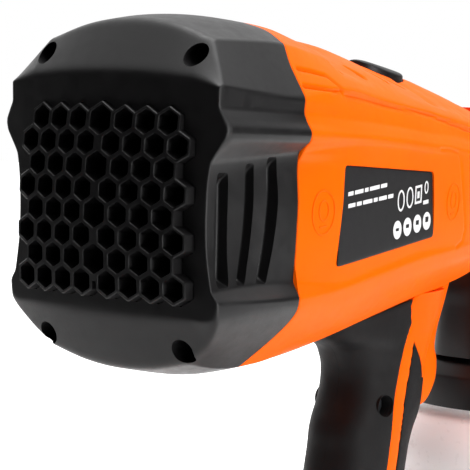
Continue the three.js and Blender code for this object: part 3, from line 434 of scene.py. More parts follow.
# the rim of the rear cover: (x, z, y)
RIM = [(0, 55.2, 12), (18, 53.4, 12), (32, 49.2, 12), (41.3, 35.4, 6.2), (41.2, 33.9, 6.2), (41.1, 29, 6.2),
       (42.6, 26.6, 6.8), (44.3, 22.8, 7.6), (43.8, 20, 7.4), (38.6, 13.5, 6.6), (37.2, 0, 6),
       (37.4, -13, 6.2),
       (39.2, -24.2, 6.8), (41.4, -27.4, 7.4), (41, -33, 8.4), (35.6, -40.6, 11), (27, -46.8, 12),
       (14, -49.8, 12), (0, -51, 12)]
BODY = {
    12: [(p[0], p[1]) for p in RIM],
    27: [(0, 57.6), (18, 55.7), (32.4, 49.7), (41.9, 34.4), (42.2, 33.4), (41.9, 28.9), (43.2, 26.4),
         (44.9, 22.8),
         (44.3, 20.1), (39, 15), (38.5, 0), (38.4, -12), (38.8, -23.2), (43.2, -27.4), (42.8, -30.5),
         (36.4, -40.5), (28, -49.4), (14, -52.8), (0, -53.4)],
    45: [(0, 57.8), (18, 55.9), (32.2, 50), (42.4, 34), (42.8, 32.8), (42.4, 28.8), (43.4, 26.2),
         (45.1, 22.8),
         (44.4, 20.2), (40.4, 16.8), (40.8, 0), (40.7, -11), (40.4, -22.8), (43.2, -27.4), (42.8, -30.5),
         (36.6, -40), (28, -49.2), (14, -52.8), (0, -53.8)],
    70: [(0, 57.6), (17, 53.2), (30, 47.4), (39.6, 37.6), (40.6, 32), (40.6, 28), (41.8, 25.4), (43, 22.2),
         (42.4, 20.6), (41.7, 19.4), (41.4, 0), (40.8, -13), (40, -24.6), (40.6, -26.4), (39.4, -31),
         (33.5, -40), (25, -46.8), (13, -51.8), (0, -53.4)],
    100: [(0, 54.1), (14, 49.4), (26, 44), (35.6, 35.4), (36.8, 30.4), (37.2, 26.8), (38.8, 24.4), (40, 21.8),
         (39.8, 20.4), (39.3, 19.2), (39.1, 0), (38.6, -11), (37.8, -20.6), (38.4, -22.4), (36.8, -28),
         (30.6, -36.6), (23, -42.6), (12, -48), (0, -50.6)],
    130: [(0, 49.1), (13, 44.6), (23.5, 39.8), (32.8, 32.4), (34.2, 28), (34.8, 25), (36.2, 22.8),
          (37.3, 20.4),
         (37.1, 19), (36.7, 17.8), (36.4, 0), (36, -9), (35.2, -16.6), (35.8, -18.4), (34.2, -24),
         (28.4, -31.6), (21, -37.6), (11, -42.8), (0, -45.4)],
    160: [(0, 45.8), (12, 40.8), (21, 36), (29.8, 30), (31.2, 26.2), (31.8, 23.2), (33.2, 21), (34.2, 18.8),
         (34.1, 17.4), (34, 16.4), (33.6, 0), (33.2, -8), (32.5, -14.6), (32.6, -16.2), (31, -21.4),
         (25.8, -27.6), (19, -32.9), (10, -37.6), (0, -40)],
    190: [(0, 39.4), (11, 36.6), (18.6, 32.4), (26.4, 26.2), (27.8, 23), (28.6, 20.6), (29.6, 18.6),
          (30.2, 16.8),
         (30.3, 15.4), (30.3, 14), (30, 0), (29.6, -6), (28.9, -11.4), (28.4, -13.4), (26.8, -18),
         (22.4, -23.8), (16.4, -28.8), (9, -33), (0, -35.2)],
    204: [(0, 36.8), (10, 34), (17, 30.2), (23.2, 25.2), (24.9, 22.2), (26, 19.8), (27, 17.6), (27.6, 15.6),
          (28, 13.6),
         (28.2, 11.4), (28, 1), (27.4, -5), (26.5, -9.6), (25.8, -12.2), (23.8, -16.6), (19.6, -21.8),
         (14.4, -26), (8, -29.2), (0, -30.8)],
    216: nose_circle(NOSE_R, 19),
}
# how sharp each of the 19 lines along the body is, from 0 for a curve to 1 for an edge: behind, in front
SHARP_REAR = [0, 0, 1, 1, 1, 1, 0.7, 0.2, 1, 0.6, 0, 0.3, 0.9, 0.9, 0.3, 0.2, 0.9, 0, 0]
SHARP_FRONT = [0, 0, 0.15, 0.5, 0.7, 0.9, 0.6, 0.2, 0.9, 0.7, 0, 0.2, 0.9, 0.8, 0.2, 0, 0, 0, 0]
SAMPLES = [12, 30, 44, 4, 9, 6, 6, 4, 8, 24, 18, 16, 5, 7, 10, 9, 9, 8]
FILLET = 0.8
CORNER_STEPS = 4


def hermite(xs, values, at):
    """Smooth interpolation through values at xs."""
    xs, values = np.asarray(xs, float), np.asarray(values, float)
    slope = np.gradient(values, xs, axis=0)
    i = np.clip(np.searchsorted(xs, at, side="right") - 1, 0, len(xs) - 2)
    h = (xs[i + 1] - xs[i])
    t = (np.asarray(at, float) - xs[i]) / h
    shape = (slice(None),) + (None,) * (values.ndim - 1)
    t, h = t[shape], h[shape]
    return ((2 * t**3 - 3 * t**2 + 1) * values[i] + (t**3 - 2 * t**2 + t) * h * slope[i]
            + (-2 * t**3 + 3 * t**2) * values[i + 1] + (t**3 - t**2) * h * slope[i + 1])


def section_curve(control, sharp):
    """Samples a half section: control points are (x, z), and each has its own sharpness."""
    p = np.asarray(control, float)
    n = len(p)
    seg = np.diff(p, axis=0)
    length = np.maximum(np.linalg.norm(seg, axis=1), 1e-6)
    smooth = np.zeros_like(p)
    for i in range(1, n - 1):
        a, b = length[i - 1], length[i]
        smooth[i] = (seg[i - 1] / a * b + seg[i] / b * a) / (a + b)
    smooth[0, 0], smooth[-1, 0] = 1, -1
    smooth /= np.linalg.norm(smooth, axis=1)[:, None]
    s = np.asarray(sharp, float)[:, None]
    out_dir = smooth.copy()
    in_dir = smooth.copy()
    out_dir[:-1] = smooth[:-1] * (1 - s[:-1]) + seg / length[:, None] * s[:-1]
    in_dir[1:] = smooth[1:] * (1 - s[1:]) + seg / length[:, None] * s[1:]
    pieces = []

    def at(i, t):
        t = np.asarray(t, float)[:, None]
        c1 = p[i] + out_dir[i] * length[i] / 3
        c2 = p[i + 1] - in_dir[i + 1] * length[i] / 3
        return (1 - t)**3 * p[i] + 3 * t * (1 - t)**2 * c1 + 3 * t**2 * (1 - t) * c2 + t**3 * p[i + 1]

    for i in range(n - 1):
        t0 = 0.0 if i == 0 else min(FILLET / length[i], 0.35)
        t1 = 1.0 if i == n - 2 else 1 - min(FILLET / length[i], 0.35)
        points = at(i, np.linspace(t0, t1, SAMPLES[i]))
        if pieces:
            a, b = pieces[-1][-1], points[0]
            t = np.linspace(0, 1, CORNER_STEPS + 2)[1:-1, None]
            pieces.append(a * (1 - t)**2 + p[i] * 2 * t * (1 - t) + b * t * t)
        pieces.append(points)
    return np.concatenate(pieces)


STATIONS = np.array(sorted(BODY))
SKIN_YS = np.arange(12.0, 216.01, 1.0)


def skin_table():
    control = hermite(STATIONS, [BODY[y] for y in STATIONS], SKIN_YS)
    rows = []
    for y, points in zip(SKIN_YS, control):
        f = smoothstep(48, 96, y)
        nose = smoothstep(196, 214, y)
        sharp = (np.array(SHARP_REAR) * (1 - f) + np.array(SHARP_FRONT) * f) * (1 - nose)
        rows.append(section_curve(points, sharp))
    return np.array(rows)


SKIN = skin_table()
FACE_CURVE = section_curve(FACE, SHARP_REAR)
COLUMNS = SKIN.shape[1]


def skin_at(y):
    """The skin's (x, z) at one y for each column; y is an array of rows by columns."""
    t = np.clip(y - SKIN_YS[0], 0, len(SKIN_YS) - 1.0001)
    i = t.astype(int)
    f = (t - i)[..., None]
    column = np.broadcast_to(np.arange(COLUMNS), y.shape)
    return SKIN[i, column] * (1 - f) + SKIN[i + 1, column] * f


RIM_Y = section_curve(RIM, SHARP_REAR)[:, 2]


def true_y(rows):
    """The y of each column's point: behind y = 27 a row bends to follow the rim."""
    back = np.clip((27.0 - rows) / 15.0, 0, 1)
    return rows + back * (RIM_Y - 12.0)


def face_y(x, z):
    return 3.5 - 0.045 * z + 0.0015 * x * x


SEAM_Y, SEAM_GAP = 45.5, 0.04


def seam_y(x, z):
    """Where the cover ends and the housing starts."""
    t = smoothstep(42, 54, z)
    crown = 63.5 - 14.8 * np.minimum(1, np.abs(x) / 32) ** 1.15
    low = smoothstep(30, 54, -z)
    side = 1.2 * smoothstep(32, 20, z) * (1 - low)
    return SEAM_Y * (1 - t) + crown * t - 9 * low + side


def seam_line():
    y = np.full((1, COLUMNS), 50.0)
    for _ in range(4):
        p = skin_at(y)
        y = seam_y(p[..., 0], p[..., 1])
    return y[0]


SEAM = seam_line()


def normals(p):
    """Outward normals of section rows, in the section's plane."""
    d = np.gradient(p, axis=-2)
    n = np.stack([-d[..., 1], d[..., 0]], -1)
    n = n / np.maximum(np.linalg.norm(n, axis=-1, keepdims=True), 1e-9)
    return n


def to_line(y, z, points):
    """The distance from each (y, z) to an open line of points."""
    best = np.full(np.shape(y), 1e9)
    for (y0, z0), (y1, z1) in zip(points[:-1], points[1:]):
        dy, dz = y1 - y0, z1 - z0
        t = np.clip(((y - y0) * dy + (z - z0) * dz) / (dy * dy + dz * dz), 0, 1)
        best = np.minimum(best, np.hypot(y - y0 - t * dy, z - z0 - t * dz))
    return best


# the three slots at the side: rear and front edges at the heights of LOUVRE_ZS, x of the bottom, upper end
LOUVRE_ZS = (-24.6, -10, 5, 18.6)
LOUVRE_LOW = -24.5
LOUVRES = [((9.6, 9.2, 8.8, 8.6), (16.6, 16.2, 15.5, 14.2), 34.4, 13),
           ((18.9, 21.5, 22.1, 21.1), (23.9, 26.5, 27.1, 26.1), 35.2, 16),
           ((28.2, 31.1, 32.1, 30.8), (33.8, 36.7, 37.7, 36.4), 35.9, 18)]


def louvre_cutters():
    cutters = []
    for behind, ahead, bottom, upper in LOUVRES:
        rings = []
        for z in np.linspace(LOUVRE_LOW, upper, 60):
            y0, y1 = (float(hermite(LOUVRE_ZS, edge, np.array([z]))[0]) for edge in (behind, ahead))
            fade = smoothstep(upper - 7, upper, z) ** 1.5 + smoothstep(LOUVRE_LOW + 4, LOUVRE_LOW, z) ** 1.5
            x = bottom + 6.5 * fade
            half = (y1 - y0) / 2
            draft = 0.9 * (1 - fade)
            outline = [(50, y0 - draft * 1.6), (x, y0 + half * 0.3), (x, y1 - half * 0.3), (50, y1 + draft)]
            section = rounded(outline, [0, 1.0, 1.0, 0], 5)
            rings.append([(a, b, z) for a, b in section])
        right = loft("louvre", rings)
        cutters += [right, mirrored(right, "louvre_left")]
    return merged(cutters)


# 1 for the columns on the crown, 0 for those on the flank, taken at the seam
CROWN = smoothstep(38, 48, SKIN[int(45 - SKIN_YS[0])][:, 1])
GROOVES = [[(48.6, 42.4), (57, 41.9), (64, 41.1), (67, 38.9), (70.1, 36.3)],
           [(47.6, 37.2), (58.4, 36.8), (70.1, 36.2), (82.9, 34.9), (99.6, 33.6), (117.7, 32.5),
            (135.6, 31.3),
            (161.8, 27.3), (186, 24.2), (203, 21.8)]]
PANEL_END = [(138, 19.4), (147, 19.2), (152.7, 18.2), (155.3, 15.2), (159.5, 2.2), (163.6, -9.3),
             (162.8, -13.6),
             (158, -15.6)]
DIMPLES = [((30.2, 75.4, 46.0), (32.6, 78.4, 43.6)), ((24.6, 95.0, 45.8), (28.4, 98.8, 42.6)),
           ((18.6, 115.5, 44.6), (23.4, 119.8, 41.8)), ((13.5, 136.0, 43.6), (17.5, 140.0, 41.2))]


def housing_relief(y, p):
    """How far the housing's skin is pushed in, in millimetres."""
    x, z = p[..., 0], p[..., 1]
    long_one = to_line(y, z, GROOVES[1])
    depth = 1.0 * np.exp(-(to_line(y, z, GROOVES[0]) / 0.55) ** 2)
    depth += 1.2 * np.exp(-(long_one / 0.6) ** 2)
    # the upper shell stands proud of the flank in front of the short groove
    below = np.interp(y, *zip(*GROOVES[1])) - z
    depth += 0.45 * smoothstep(-0.2, 0.5, below) * smoothstep(6.5, 2.0, below) * smoothstep(62, 74, y)
    depth += 0.45 * np.exp(-(to_line(y, z, PANEL_END) / 0.7) ** 2)
    # crown: a step down, a dip at the button, a rise in front of it, and then the turned-in nose
    step_down = 1.3 * smoothstep(74, 80, y) * smoothstep(112, 84, y) + 0.7 * smoothstep(118, 140, y)
    dip = 0.8 * np.exp(-((y - 152) / 3.5) ** 2)
    rise = 0.5 * smoothstep(158, 168, y) * smoothstep(196, 180, y)
    depth += CROWN * (step_down + dip - rise)
    depth += 1.8 * smoothstep(198, 216, y) ** 2
    for a, b in DIMPLES:
        a, b = np.array(a), np.array(b)
        v = np.stack([x - a[0], y - a[1], z - a[2]], -1)
        t = np.clip((v @ (b - a)) / ((b - a) @ (b - a)), 0, 1)
        far = np.linalg.norm(v - t[..., None] * (b - a), axis=-1)
        depth += 1.5 * np.exp(-(far / 1.5) ** 4)
    # flush below the bulge, where the cover's own edge stays hollow
    depth -= 1.0 * np.exp(-((z - 16.8) / 2.0) ** 2) * smoothstep(72, 46, y) * (x > 30)
    return depth


def seam_rows(ys):
    """Rows from the seam to a plane end: offsets near the seam are level with it, and the shape eases out."""
    rows = []
    end = ys[-1]
    for y in ys:
        f = smoothstep(0, 1, abs(y - SEAM_Y) / abs(end - SEAM_Y) * 1.6)
        rows.append(SEAM * (1 - f) + SEAM_Y * f + (y - SEAM_Y))
    return np.array(rows)


def half_rings(rows, edge_at, relief=None):
    """Rings for the right half, with the edge at the seam rounded; the cover has no other relief."""
    p = skin_at(rows)
    n = normals(p)
    y = true_y(rows)
    d = np.zeros_like(y) if relief is None else relief(y, p)
    d = d + eased(np.abs(rows - (SEAM + edge_at)[None, :]), 0.55, 0.42)
    p = p - n * d[..., None]
    x = np.maximum(p[..., 0], GAP / 2)
    return np.stack([x, y, p[..., 1]], -1)


EDGE_STEPS = np.array([0.0, 0.1, 0.22, 0.38, 0.58, 0.85])


def cover_half():
    # from the seam back to the rear edge, then over the rear face
    ys = SEAM_Y - SEAM_GAP - np.concatenate([EDGE_STEPS, np.linspace(1.3, 31.2, 62)])
    rows = seam_rows(ys)
    rings = half_rings(rows, -SEAM_GAP)
    rim = skin_at(np.full((1, COLUMNS), 12.0))[0]
    rim = np.stack([np.maximum(rim[:, 0], GAP / 2), RIM_Y, rim[:, 1]], -1)
    face = np.stack([np.maximum(FACE_CURVE[:, 0], GAP / 2), face_y(FACE_CURVE[:, 0], FACE_CURVE[:, 1]),
                     FACE_CURVE[:, 1]], -1)
    inner = np.stack([face[:, 0] * 0.9, face_y(face[:, 0] * 0.9, face[:, 2] * 0.9), face[:, 2] * 0.9], -1)
    turn = along([rings[-1], rim, face, inner], 44)
    for _ in range(14):
        turn[1:-1] = (turn[:-2] + 2 * turn[1:-1] + turn[2:]) / 4
    out = list(rings[:-1]) + list(turn)
    for s in np.linspace(0.86, 0.3, 10):
        x, z = face[:, 0] * s, face[:, 2] * s
        out.append(np.stack([np.maximum(x, GAP / 2), face_y(x, z), z], -1))
    out = np.array(out)
    out[..., 0] = np.maximum(out[..., 0], GAP / 2)
    return out


def along(path, count):
    """Rows at even distances along a path of rows, column by column."""
    path = np.array(path)
    out = np.empty((count, path.shape[1], 3))
    for c in range(path.shape[1]):
        s = np.concatenate([[0], np.cumsum(np.linalg.norm(np.diff(path[:, c], axis=0), axis=1) + 1e-6)])
        for k in range(3):
            out[:, c, k] = np.interp(np.linspace(0, s[-1], count), s, path[:, c, k])
    return out


def housing_half():
    ys = np.concatenate([SEAM_Y + SEAM_GAP + EDGE_STEPS, np.arange(47.0, 110, 0.5),
                         np.arange(110, 215.5, 0.75), [215.6, 215.85, NOSE_Y]])
    rows = seam_rows(ys)
    f = smoothstep(140, 216, ys)[:, None]
    rows = rows * (1 - f) + ys[:, None] * f
    rings = half_rings(rows, SEAM_GAP, housing_relief)
    end = rings[-3:]
    for k, inset in enumerate((0.05, 0.25, 0.6)):
        centre = np.array([0.0, 0.0, AXIS_Z])
        d = end[k] - centre
        d[:, 1] = 0
        r = np.maximum(np.linalg.norm(d, axis=1, keepdims=True), 1e-6)
        end[k] -= d / r * inset
        end[k][:, 0] = np.maximum(end[k][:, 0], GAP / 2)
    return rings


def full_rings(rings):
    """Adds the mirrored left half to rings of the right half."""
    left = rings[:, -2:0:-1] * np.array([-1, 1, 1])
    return np.concatenate([rings, left], 1)


CAVITY = {
    15: [(0, 50), (26, 45.4), (36.4, 32.4), (32, 14), (31.6, 0), (32, -14), (35.6, -27), (22.6, -42),
         (0, -46.8)],
    45: [(0, 54), (27, 46.6), (37.4, 32.8), (34.4, 14), (34, 0), (34, -16), (36.4, -27), (25.2, -42.6),
         (0, -50.4)],
    70: [(0, 53.6), (24.6, 45), (35.6, 34.6), (37, 18), (37, 0), (36.6, -14), (35, -25), (22.6, -41),
         (0, -49.6)],
    100: [(0, 50), (22, 41.2), (32, 32.2), (34.6, 17), (34.6, 0), (34, -12), (32.8, -21.5), (20.2, -37),
          (0, -46.8)],
    130: [(0, 45), (20, 37), (29.4, 29), (32, 16), (32, 0), (31.6, -10), (30.4, -17), (18.2, -32),
          (0, -41.6)],
    160: [(0, 41.6), (18, 33.4), (26.6, 27), (29.6, 14), (29.4, 0), (29, -9), (27.8, -14.6), (16.2, -27.8),
          (0, -36.2)],
    190: [(0, 35.6), (15.6, 29.2), (23.2, 23.2), (26.2, 13), (26, 0), (25.6, -7), (24, -12), (13.8, -23.6),
          (0, -31.6)],
    216: nose_circle(NOSE_R - 5.2, 9),
}
CAVITY_FACE = [(0, 35.5), (28, 35), (34.4, 31.5), (33, 14), (32.4, 0), (33, -14), (34.4, -26), (27, -31),
               (0, -31.4)]


def cavity():
    def ring(half, y):
        half = np.asarray(half, float)
        half = np.concatenate([half, half[-2:0:-1] * np.array([-1, 1])])
        return np.stack([half[:, 0], y(half[:, 0], half[:, 1]), half[:, 1]], -1)
    rings = [ring(CAVITY_FACE, lambda x, z: face_y(x, z) + 3.0)]
    for y in sorted(CAVITY):
        rings.append(ring(CAVITY[y], lambda x, z, y=y: np.full_like(x, y)))
    rings.append(ring(CAVITY[216], lambda x, z: np.full_like(x, 230.0)))
    return loft("cavity", rings)


# ---- intake grille ----
def cells():
    out = []
    for row in range(8):
        z = (3.5 - row) * PITCH * math.sqrt(3) / 2
        for k in ([0.5, 1.5, 2.5, 3.5] if row % 2 else [0, 1, 2, 3]):
            for side in ([1, -1] if k else [1]):
                out.append((side * (k + (0.123 if k else 0)) * PITCH, z, WIDE_CELL if k == 0 else 1.0))
    return out


def hexagon(cx, cz, flat, grow, radius):
    r = (flat / 2 + grow) * 2 / math.sqrt(3)
    turn = np.pi / 6 + np.arange(6) * np.pi / 3
    return rounded(np.stack([cx + r * np.cos(turn), cz + r * np.sin(turn)], -1), radius, 4)


def hexagons(name, levels, radius):
    """One solid per cell, through (y, grow) levels; they may overlap each other."""
    parts = []
    for cx, cz, wide in cells():
        rings = []
        for y, grow in levels:
            line = hexagon(cx, cz, CELL * wide, grow, radius)
            rings.append(np.stack([line[:, 0], np.full(len(line), y), line[:, 1]], -1))
        parts.append(loft(name, rings))
    return parts


def union_all(parts):
    """Joins touching solids in pairs, which keeps each step small."""
    while len(parts) > 1:
        joined = [boolean(a, b, "UNION") for a, b in zip(parts[::2], parts[1::2])]
        parts = joined + (parts[-1:] if len(parts) % 2 else [])
    return parts[0]


def merged(parts):
    """One object from solids that don't touch."""
    points, faces, base = [], [], 0
    for part in parts:
        mesh = part.data
        points.append(coordinates(mesh))
        faces += [[base + v for v in p.vertices] for p in mesh.polygons]
        base += len(mesh.vertices)
    mesh = bpy.data.meshes.new("merged")
    mesh.from_pydata(np.concatenate(points).tolist(), [], faces)
    out = parts[0]
    out.data = mesh
    for part in parts[1:]:
        bpy.data.objects.remove(part)
    return out


def dish(obj):
    """Bends a flat plate to the shallow bowl of the grille."""
    mesh = obj.data
    co = coordinates(mesh)
    x, z = co[:, 0] * 1000, co[:, 2] * 1000 - ORIGIN[2]
    co[:, 1] += (0.00224 * x * x + 0.00218 * z * z) / 1000
    mesh.vertices.foreach_set("co", co.ravel())
    return obj


GRILLE_WALL = 0.9


def grille_block(name, grow, y0, y1, bevel=0.0):
    wall = GRILLE_WALL + grow
    edge = [(y0, wall - bevel), (y0 + bevel, wall)] if bevel else [(y0, wall)]
    levels = [*edge, (y1, wall)]
    core = block(name, -26 - grow, 26 + grow, y0, y1, -24 - grow, 24 + grow)
    return union_all(hexagons(name, levels, 0.5) + [core])


def build_grille():
    grille = grille_block("grille", 0.0, -1.2, 9.0, 0.25)
    flange = cut(block("flange", -33.2, 33.2, 7.2, 9.2, -30, 30, 1.0), block("hole", -27, 27, 0, 20, -23, 23))
    join(grille, flange)
    holes = merged(hexagons("holes", [(-3.2, 0.12), (-1.2, 0.12), (-1.0, 0.0), (12, -0.15)], 0.55))
    cut(grille, holes)
    return finish_piece(dish(grille), "gun", BLACK, ["intake_grille"], 30)


# ---- rear cover ----
def build_cover():
    rings = full_rings(cover_half())
    cover = loft("cover_shell", rings)
    solid = copy_of(cover, "solid")
    cut(cover, cavity(), louvre_cutters())
    bosses = merged([rod("boss", 6, 8, 26, "y", (x, 0, z), 40) for x, z in SCREWS])
    boolean(bosses, solid, "INTERSECT")
    join(cover, bosses)
    cut(cover, dish(grille_block("opening", GAP, -8, 12)))
    cut(cover, block("seat", -33.8, 33.8, 8.7, 20, -30.6, 30.6))
    cut(cover, merged([rod("hole", 3.6, -6, 22, "y", (x, 0, z), 48) for x, z in SCREWS]))
    return finish_piece(cover, "gun", BLACK, ["rear_cover"], 38)


# ---- handle ----
# [z, centre y, half length, half width]
HANDLE = np.array(
    [(-30, 158, 40, 15), (-44, 155.5, 37.5, 15.2), (-50, 155.2, 32.8, 15.3), (-53.5, 157.45, 27.95, 15.3),
     (-57, 157.8, 25.2, 15.4), (-60, 157.95, 23.65, 15.4), (-64, 157.9, 22.7, 15.5), (-70, 157.2, 22.6, 15.5),
     (-76, 155.7, 23.5, 15.5), (-80, 153.9, 23.7, 15.5), (-84, 152, 22.8, 15.5), (-90, 150.4, 21.5, 15.5),
     (-97, 149, 21.2, 15.5), (-115, 145.1, 21.7, 15.7), (-140, 139.2, 22.2, 16), (-165, 133.4, 24.2, 16.8),
     (-182, 130.6, 26.8, 18.2), (-192, 129.6, 28.8, 19.4), (-197, 129.4, 29.2, 19.6),
     (-200, 129.4, 28.2, 18.8)], float)
STRIPE_REAR = [(162.5, -34.4), (158.6, -37.4), (158.6, -41), (159.2, -44.8), (156.8, -49), (154.6, -54.1),
               (152.6, -60.5), (151, -67),
               (149.6, -75.2), (148.7, -84.4), (147, -96), (142, -115), (135.6, -140), (130.4, -165),
               (127.4, -184)]
STRIPE_FRONT = [(133.8, -184), (136.6, -165), (141.6, -140), (148, -115), (153.2, -96.5), (154.3, -89.3),
                (155.6, -80), (156.6, -71.6), (157.9, -66), (159.5, -60), (160.6, -55), (161.4, -51.5)]
WEB = [(162.9, -53.7), (166.3, -57.7), (168.6, -61), (170.5, -66), (180, -67), (196, -67), (196, -34)]
BELLY = [(90, -49), (100, -47), (136, -40), (162, -35.5), (182, -31.5), (215, -24)]


def fine(points, step=1.5):
    """A smooth line through points."""
    p = np.asarray(points, float)
    s = np.concatenate([[0], np.cumsum(np.linalg.norm(np.diff(p, axis=0), axis=1))])
    return hermite(s, p, np.linspace(0, s[-1] - 1e-6, max(4, int(s[-1] / step))))


REAR_LINE, FRONT_LINE = fine(STRIPE_REAR), fine(STRIPE_FRONT)


def handle_rings(inset, z0, z1, relief=None, n=280, step=0.6):
    zs = np.arange(z1, z0 + 1e-6, step) if step < abs(z0 - z1) else np.array([z1, z0])
    zs = np.unique(np.concatenate([zs, [z0]]))
    order = np.argsort(HANDLE[:, 0])
    row = hermite(HANDLE[order, 0], HANDLE[order, 1:], np.minimum(zs, -30 - 1e-6))
    t = np.arange(n) / n * 2 * math.pi
    c, s = np.cos(t), np.sin(t)
    x, y = signed_power(c, 0.8), signed_power(s, 0.8)
    a, b = row[:, 1:2] - inset, row[:, 2:3] - inset
    p = np.stack([x * b, row[:, 0:1] + y * a, np.broadcast_to(zs[:, None], (len(zs), n))], -1)
    if relief is not None:
        d = np.roll(p, -1, 1) - np.roll(p, 1, 1)
        normal = np.stack([d[..., 1], -d[..., 0]], -1)
        normal /= np.linalg.norm(normal, axis=-1, keepdims=True)
        p[..., :2] -= normal * relief(p[..., 0], p[..., 1], p[..., 2])[..., None]
    return p


EDGE_WIDTH, EDGE_DEPTH = 1.3, 0.3


def stripe_edge(y, z):
    """The distance to the nearer edge of the orange stripe."""
    return np.minimum(to_line(y, z, REAR_LINE[::2]), to_line(y, z, FRONT_LINE[::2]))


def grip_relief(x, y, z):
    """How far the grips are pushed in where their edges are rounded."""
    d = eased(stripe_edge(y, z), EDGE_WIDTH, EDGE_DEPTH)
    near = np.minimum(to_line(y, z, BELLY), to_line(y, z, [STRIPE_FRONT[-1], *WEB[:4]]))
    d += eased(near, EDGE_WIDTH, EDGE_DEPTH)
    d += eased(np.abs(z - FOOT_Z), EDGE_WIDTH, EDGE_DEPTH)
    return d


def handle_solid(name, inset, z0, z1, relief=None, **detail):
    return loft(name, handle_rings(inset, z0, z1, relief, **detail))


def stripe_outline(grow):
    rear = [(y - grow, z) for y, z in fine(STRIPE_REAR, 3)]
    end_y, end_z = STRIPE_FRONT[-1]
    front = [(y + grow, z) for y, z in fine(STRIPE_FRONT, 3)[:-1]] + [(end_y, end_z - 3 * grow)]
    web = [(y - (0.6 * grow if y < 170 and z < -50 else 0), z - (grow if z < -50 else 0)) for y, z in WEB]
    outline = [*rear, *front, *web]
    return [(y, z - grow if z < -183.5 else z) for y, z in outline]


def stripe(grow):
    return prism("stripe", stripe_outline(grow), -30, 30)


def belly(grow):
    return prism("belly", [(y, z - grow) for y, z in BELLY] + [(215, 60), (90, 60)], -40, 40)


def pocket():
    return block("pocket", -8.4, 8.4, 166, 206, -86, -20)


def below_foot(top):
    return block("foot", -40, 40, 60, 240, -230, top)


def handle_holes(grow=0.0):
    return [rod("hole", r + grow, -40, 40, "x", (0, y, z), 48) for y, z, r in HANDLE_SCREWS]


GRIP_SPLIT = 0.03


def build_grips(body):
    skin = handle_solid("skin", 0, -30, -200, grip_relief)
    cut(skin, handle_solid("inside", 2.2, -29, -201, n=64, step=4))
    cut(skin, belly(GAP), body, stripe(GAP), pocket(), below_foot(FOOT_Z))
    outline = [(60, 10), (STRIPE_REAR[0][0], 10), *fine(STRIPE_REAR, 3).tolist(), (126, -200), (60, -200)]
    behind = prism("behind", outline, -40, 40)
    front = copy_of(skin, "grip_front_pad")
    boolean(front, behind, keep=True)
    front = largest_part(front)
    boolean(skin, behind, "INTERSECT")
    left = copy_of(skin, "grip_left_shell")
    right = skin
    right.name = "grip_right_shell"
    boolean(right, half_space(1, GRIP_SPLIT, 60, -220, 0), "INTERSECT")
    boolean(left, half_space(-1, GRIP_SPLIT, 60, -220, 0), "INTERSECT")
    for piece, side in ((left, -1), (right, 1)):
        cut(piece, merged(handle_holes()))
        largest_part(piece)
        for y, z, r in HANDLE_SCREWS:
            outer, inner = r + 0.16, r - 0.12
            profile = [(0, 7.0), (outer, 7.0), (outer, 13.9), (inner, 13.9), (inner, 7.6), (0, 7.6)]
            cup = turned("cup", profile, "x", (0, y, z), 48, 0.1)
            if side < 0:
                flip = mirrored(cup, "cup_left")
                bpy.data.objects.remove(cup)
                cup = flip
            join(piece, cup)
    for piece, node in ((right, "grip_right"), (left, "grip_left"), (front, "grip_front")):
        finish_piece(piece, "gun", RUBBER, [node], 38)


def build_foot():
    foot = handle_solid("foot_cap", 0, -165, -200, lambda x, y, z: eased(z + 200, 1.2, 0.9))
    cut(foot, block("above", -60, 60, 60, 240, -184.9, -100))
    cut(foot, handle_solid("hollow", 3, -170, -194, n=64, step=3))
    cut(foot, rod("socket", 8.3, -202, -180, "z", (0, 128, 0)))
    finish_piece(foot, "gun", BLACK, ["handle_foot"], 38)
    inlet = turned("inlet_ring",
                   [(4.4, -199.2), (7, -199.2), (8, -198), (8, -188), (9.6, -187.6), (9.6, -185),
                                  (4.4, -185)], "z", (0, 128, 0), 64, 0.3)
    finish_piece(inlet, "gun", SEAL, ["cable_inlet"])


# ---- housing ----
# the label's corners: rear top, rear bottom, front bottom, front top, as (y, z)
LABEL_CORNERS = [(71.3, 13.2), (69.4, -19), (137, -11.2), (133.9, 11.3)]
BUTTON = dict(y0=135.0, y1=163.0, half=7.8)


def panel_x(y):
    return 41.4 - (y - 70) * 0.0836


def label_block(name, grow, levels):
    """The label's outline through levels of (distance off the panel, inset)."""
    rings = []
    for off, inset in levels:
        g = grow - inset
        corners = [(y + (-g if i < 2 else g), z + (g if i in (0, 3) else -g)) for i,
                   (y, z) in enumerate(LABEL_CORNERS)]
        rings.append([(panel_x(y) + off, y, z) for y, z in rounded(corners, 1.6, 6)])
    return loft(name, rings)


def top_z(x, y):
    return 48.6 - np.maximum(0, y - 134) * 0.128 - 0.034 * x * x


def button_ring(grow, height, n=72):
    a = np.arange(n) / n * 2 * math.pi
    c, s = np.cos(a), np.sin(a)
    y0, y1, half = BUTTON["y0"], BUTTON["y1"], BUTTON["half"]
    x = (half + grow) * s
    y = (y0 + y1) / 2 + ((y1 - y0) / 2 + grow) * np.sign(c) * np.abs(c) ** 0.75
    return np.stack([x, y, top_z(x, y) + height], -1)


def build_button():
    levels = [(0, -4.0), (0, 0.2), (0, 0.7), (-0.15, 1.05), (-0.5, 1.3), (-1.2, 1.5), (-2.4, 1.62),
              (-4.2, 1.68),
              (-6.5, 1.7)]
    button = loft("button_cap", [button_ring(g, h) for g, h in levels])
    join(button, rod("stem", 2.4, 33.8, 45, "z", (0, 150, 0), 32))
    finish_piece(button, "button", BLACK, ["release_button"])


def housing_cutters():
    return [handle_solid("mouth", 5, -29, -62, n=64, step=4), pocket(),
            loft("well", [button_ring(0.4, -9), button_ring(0.4, 8)])]


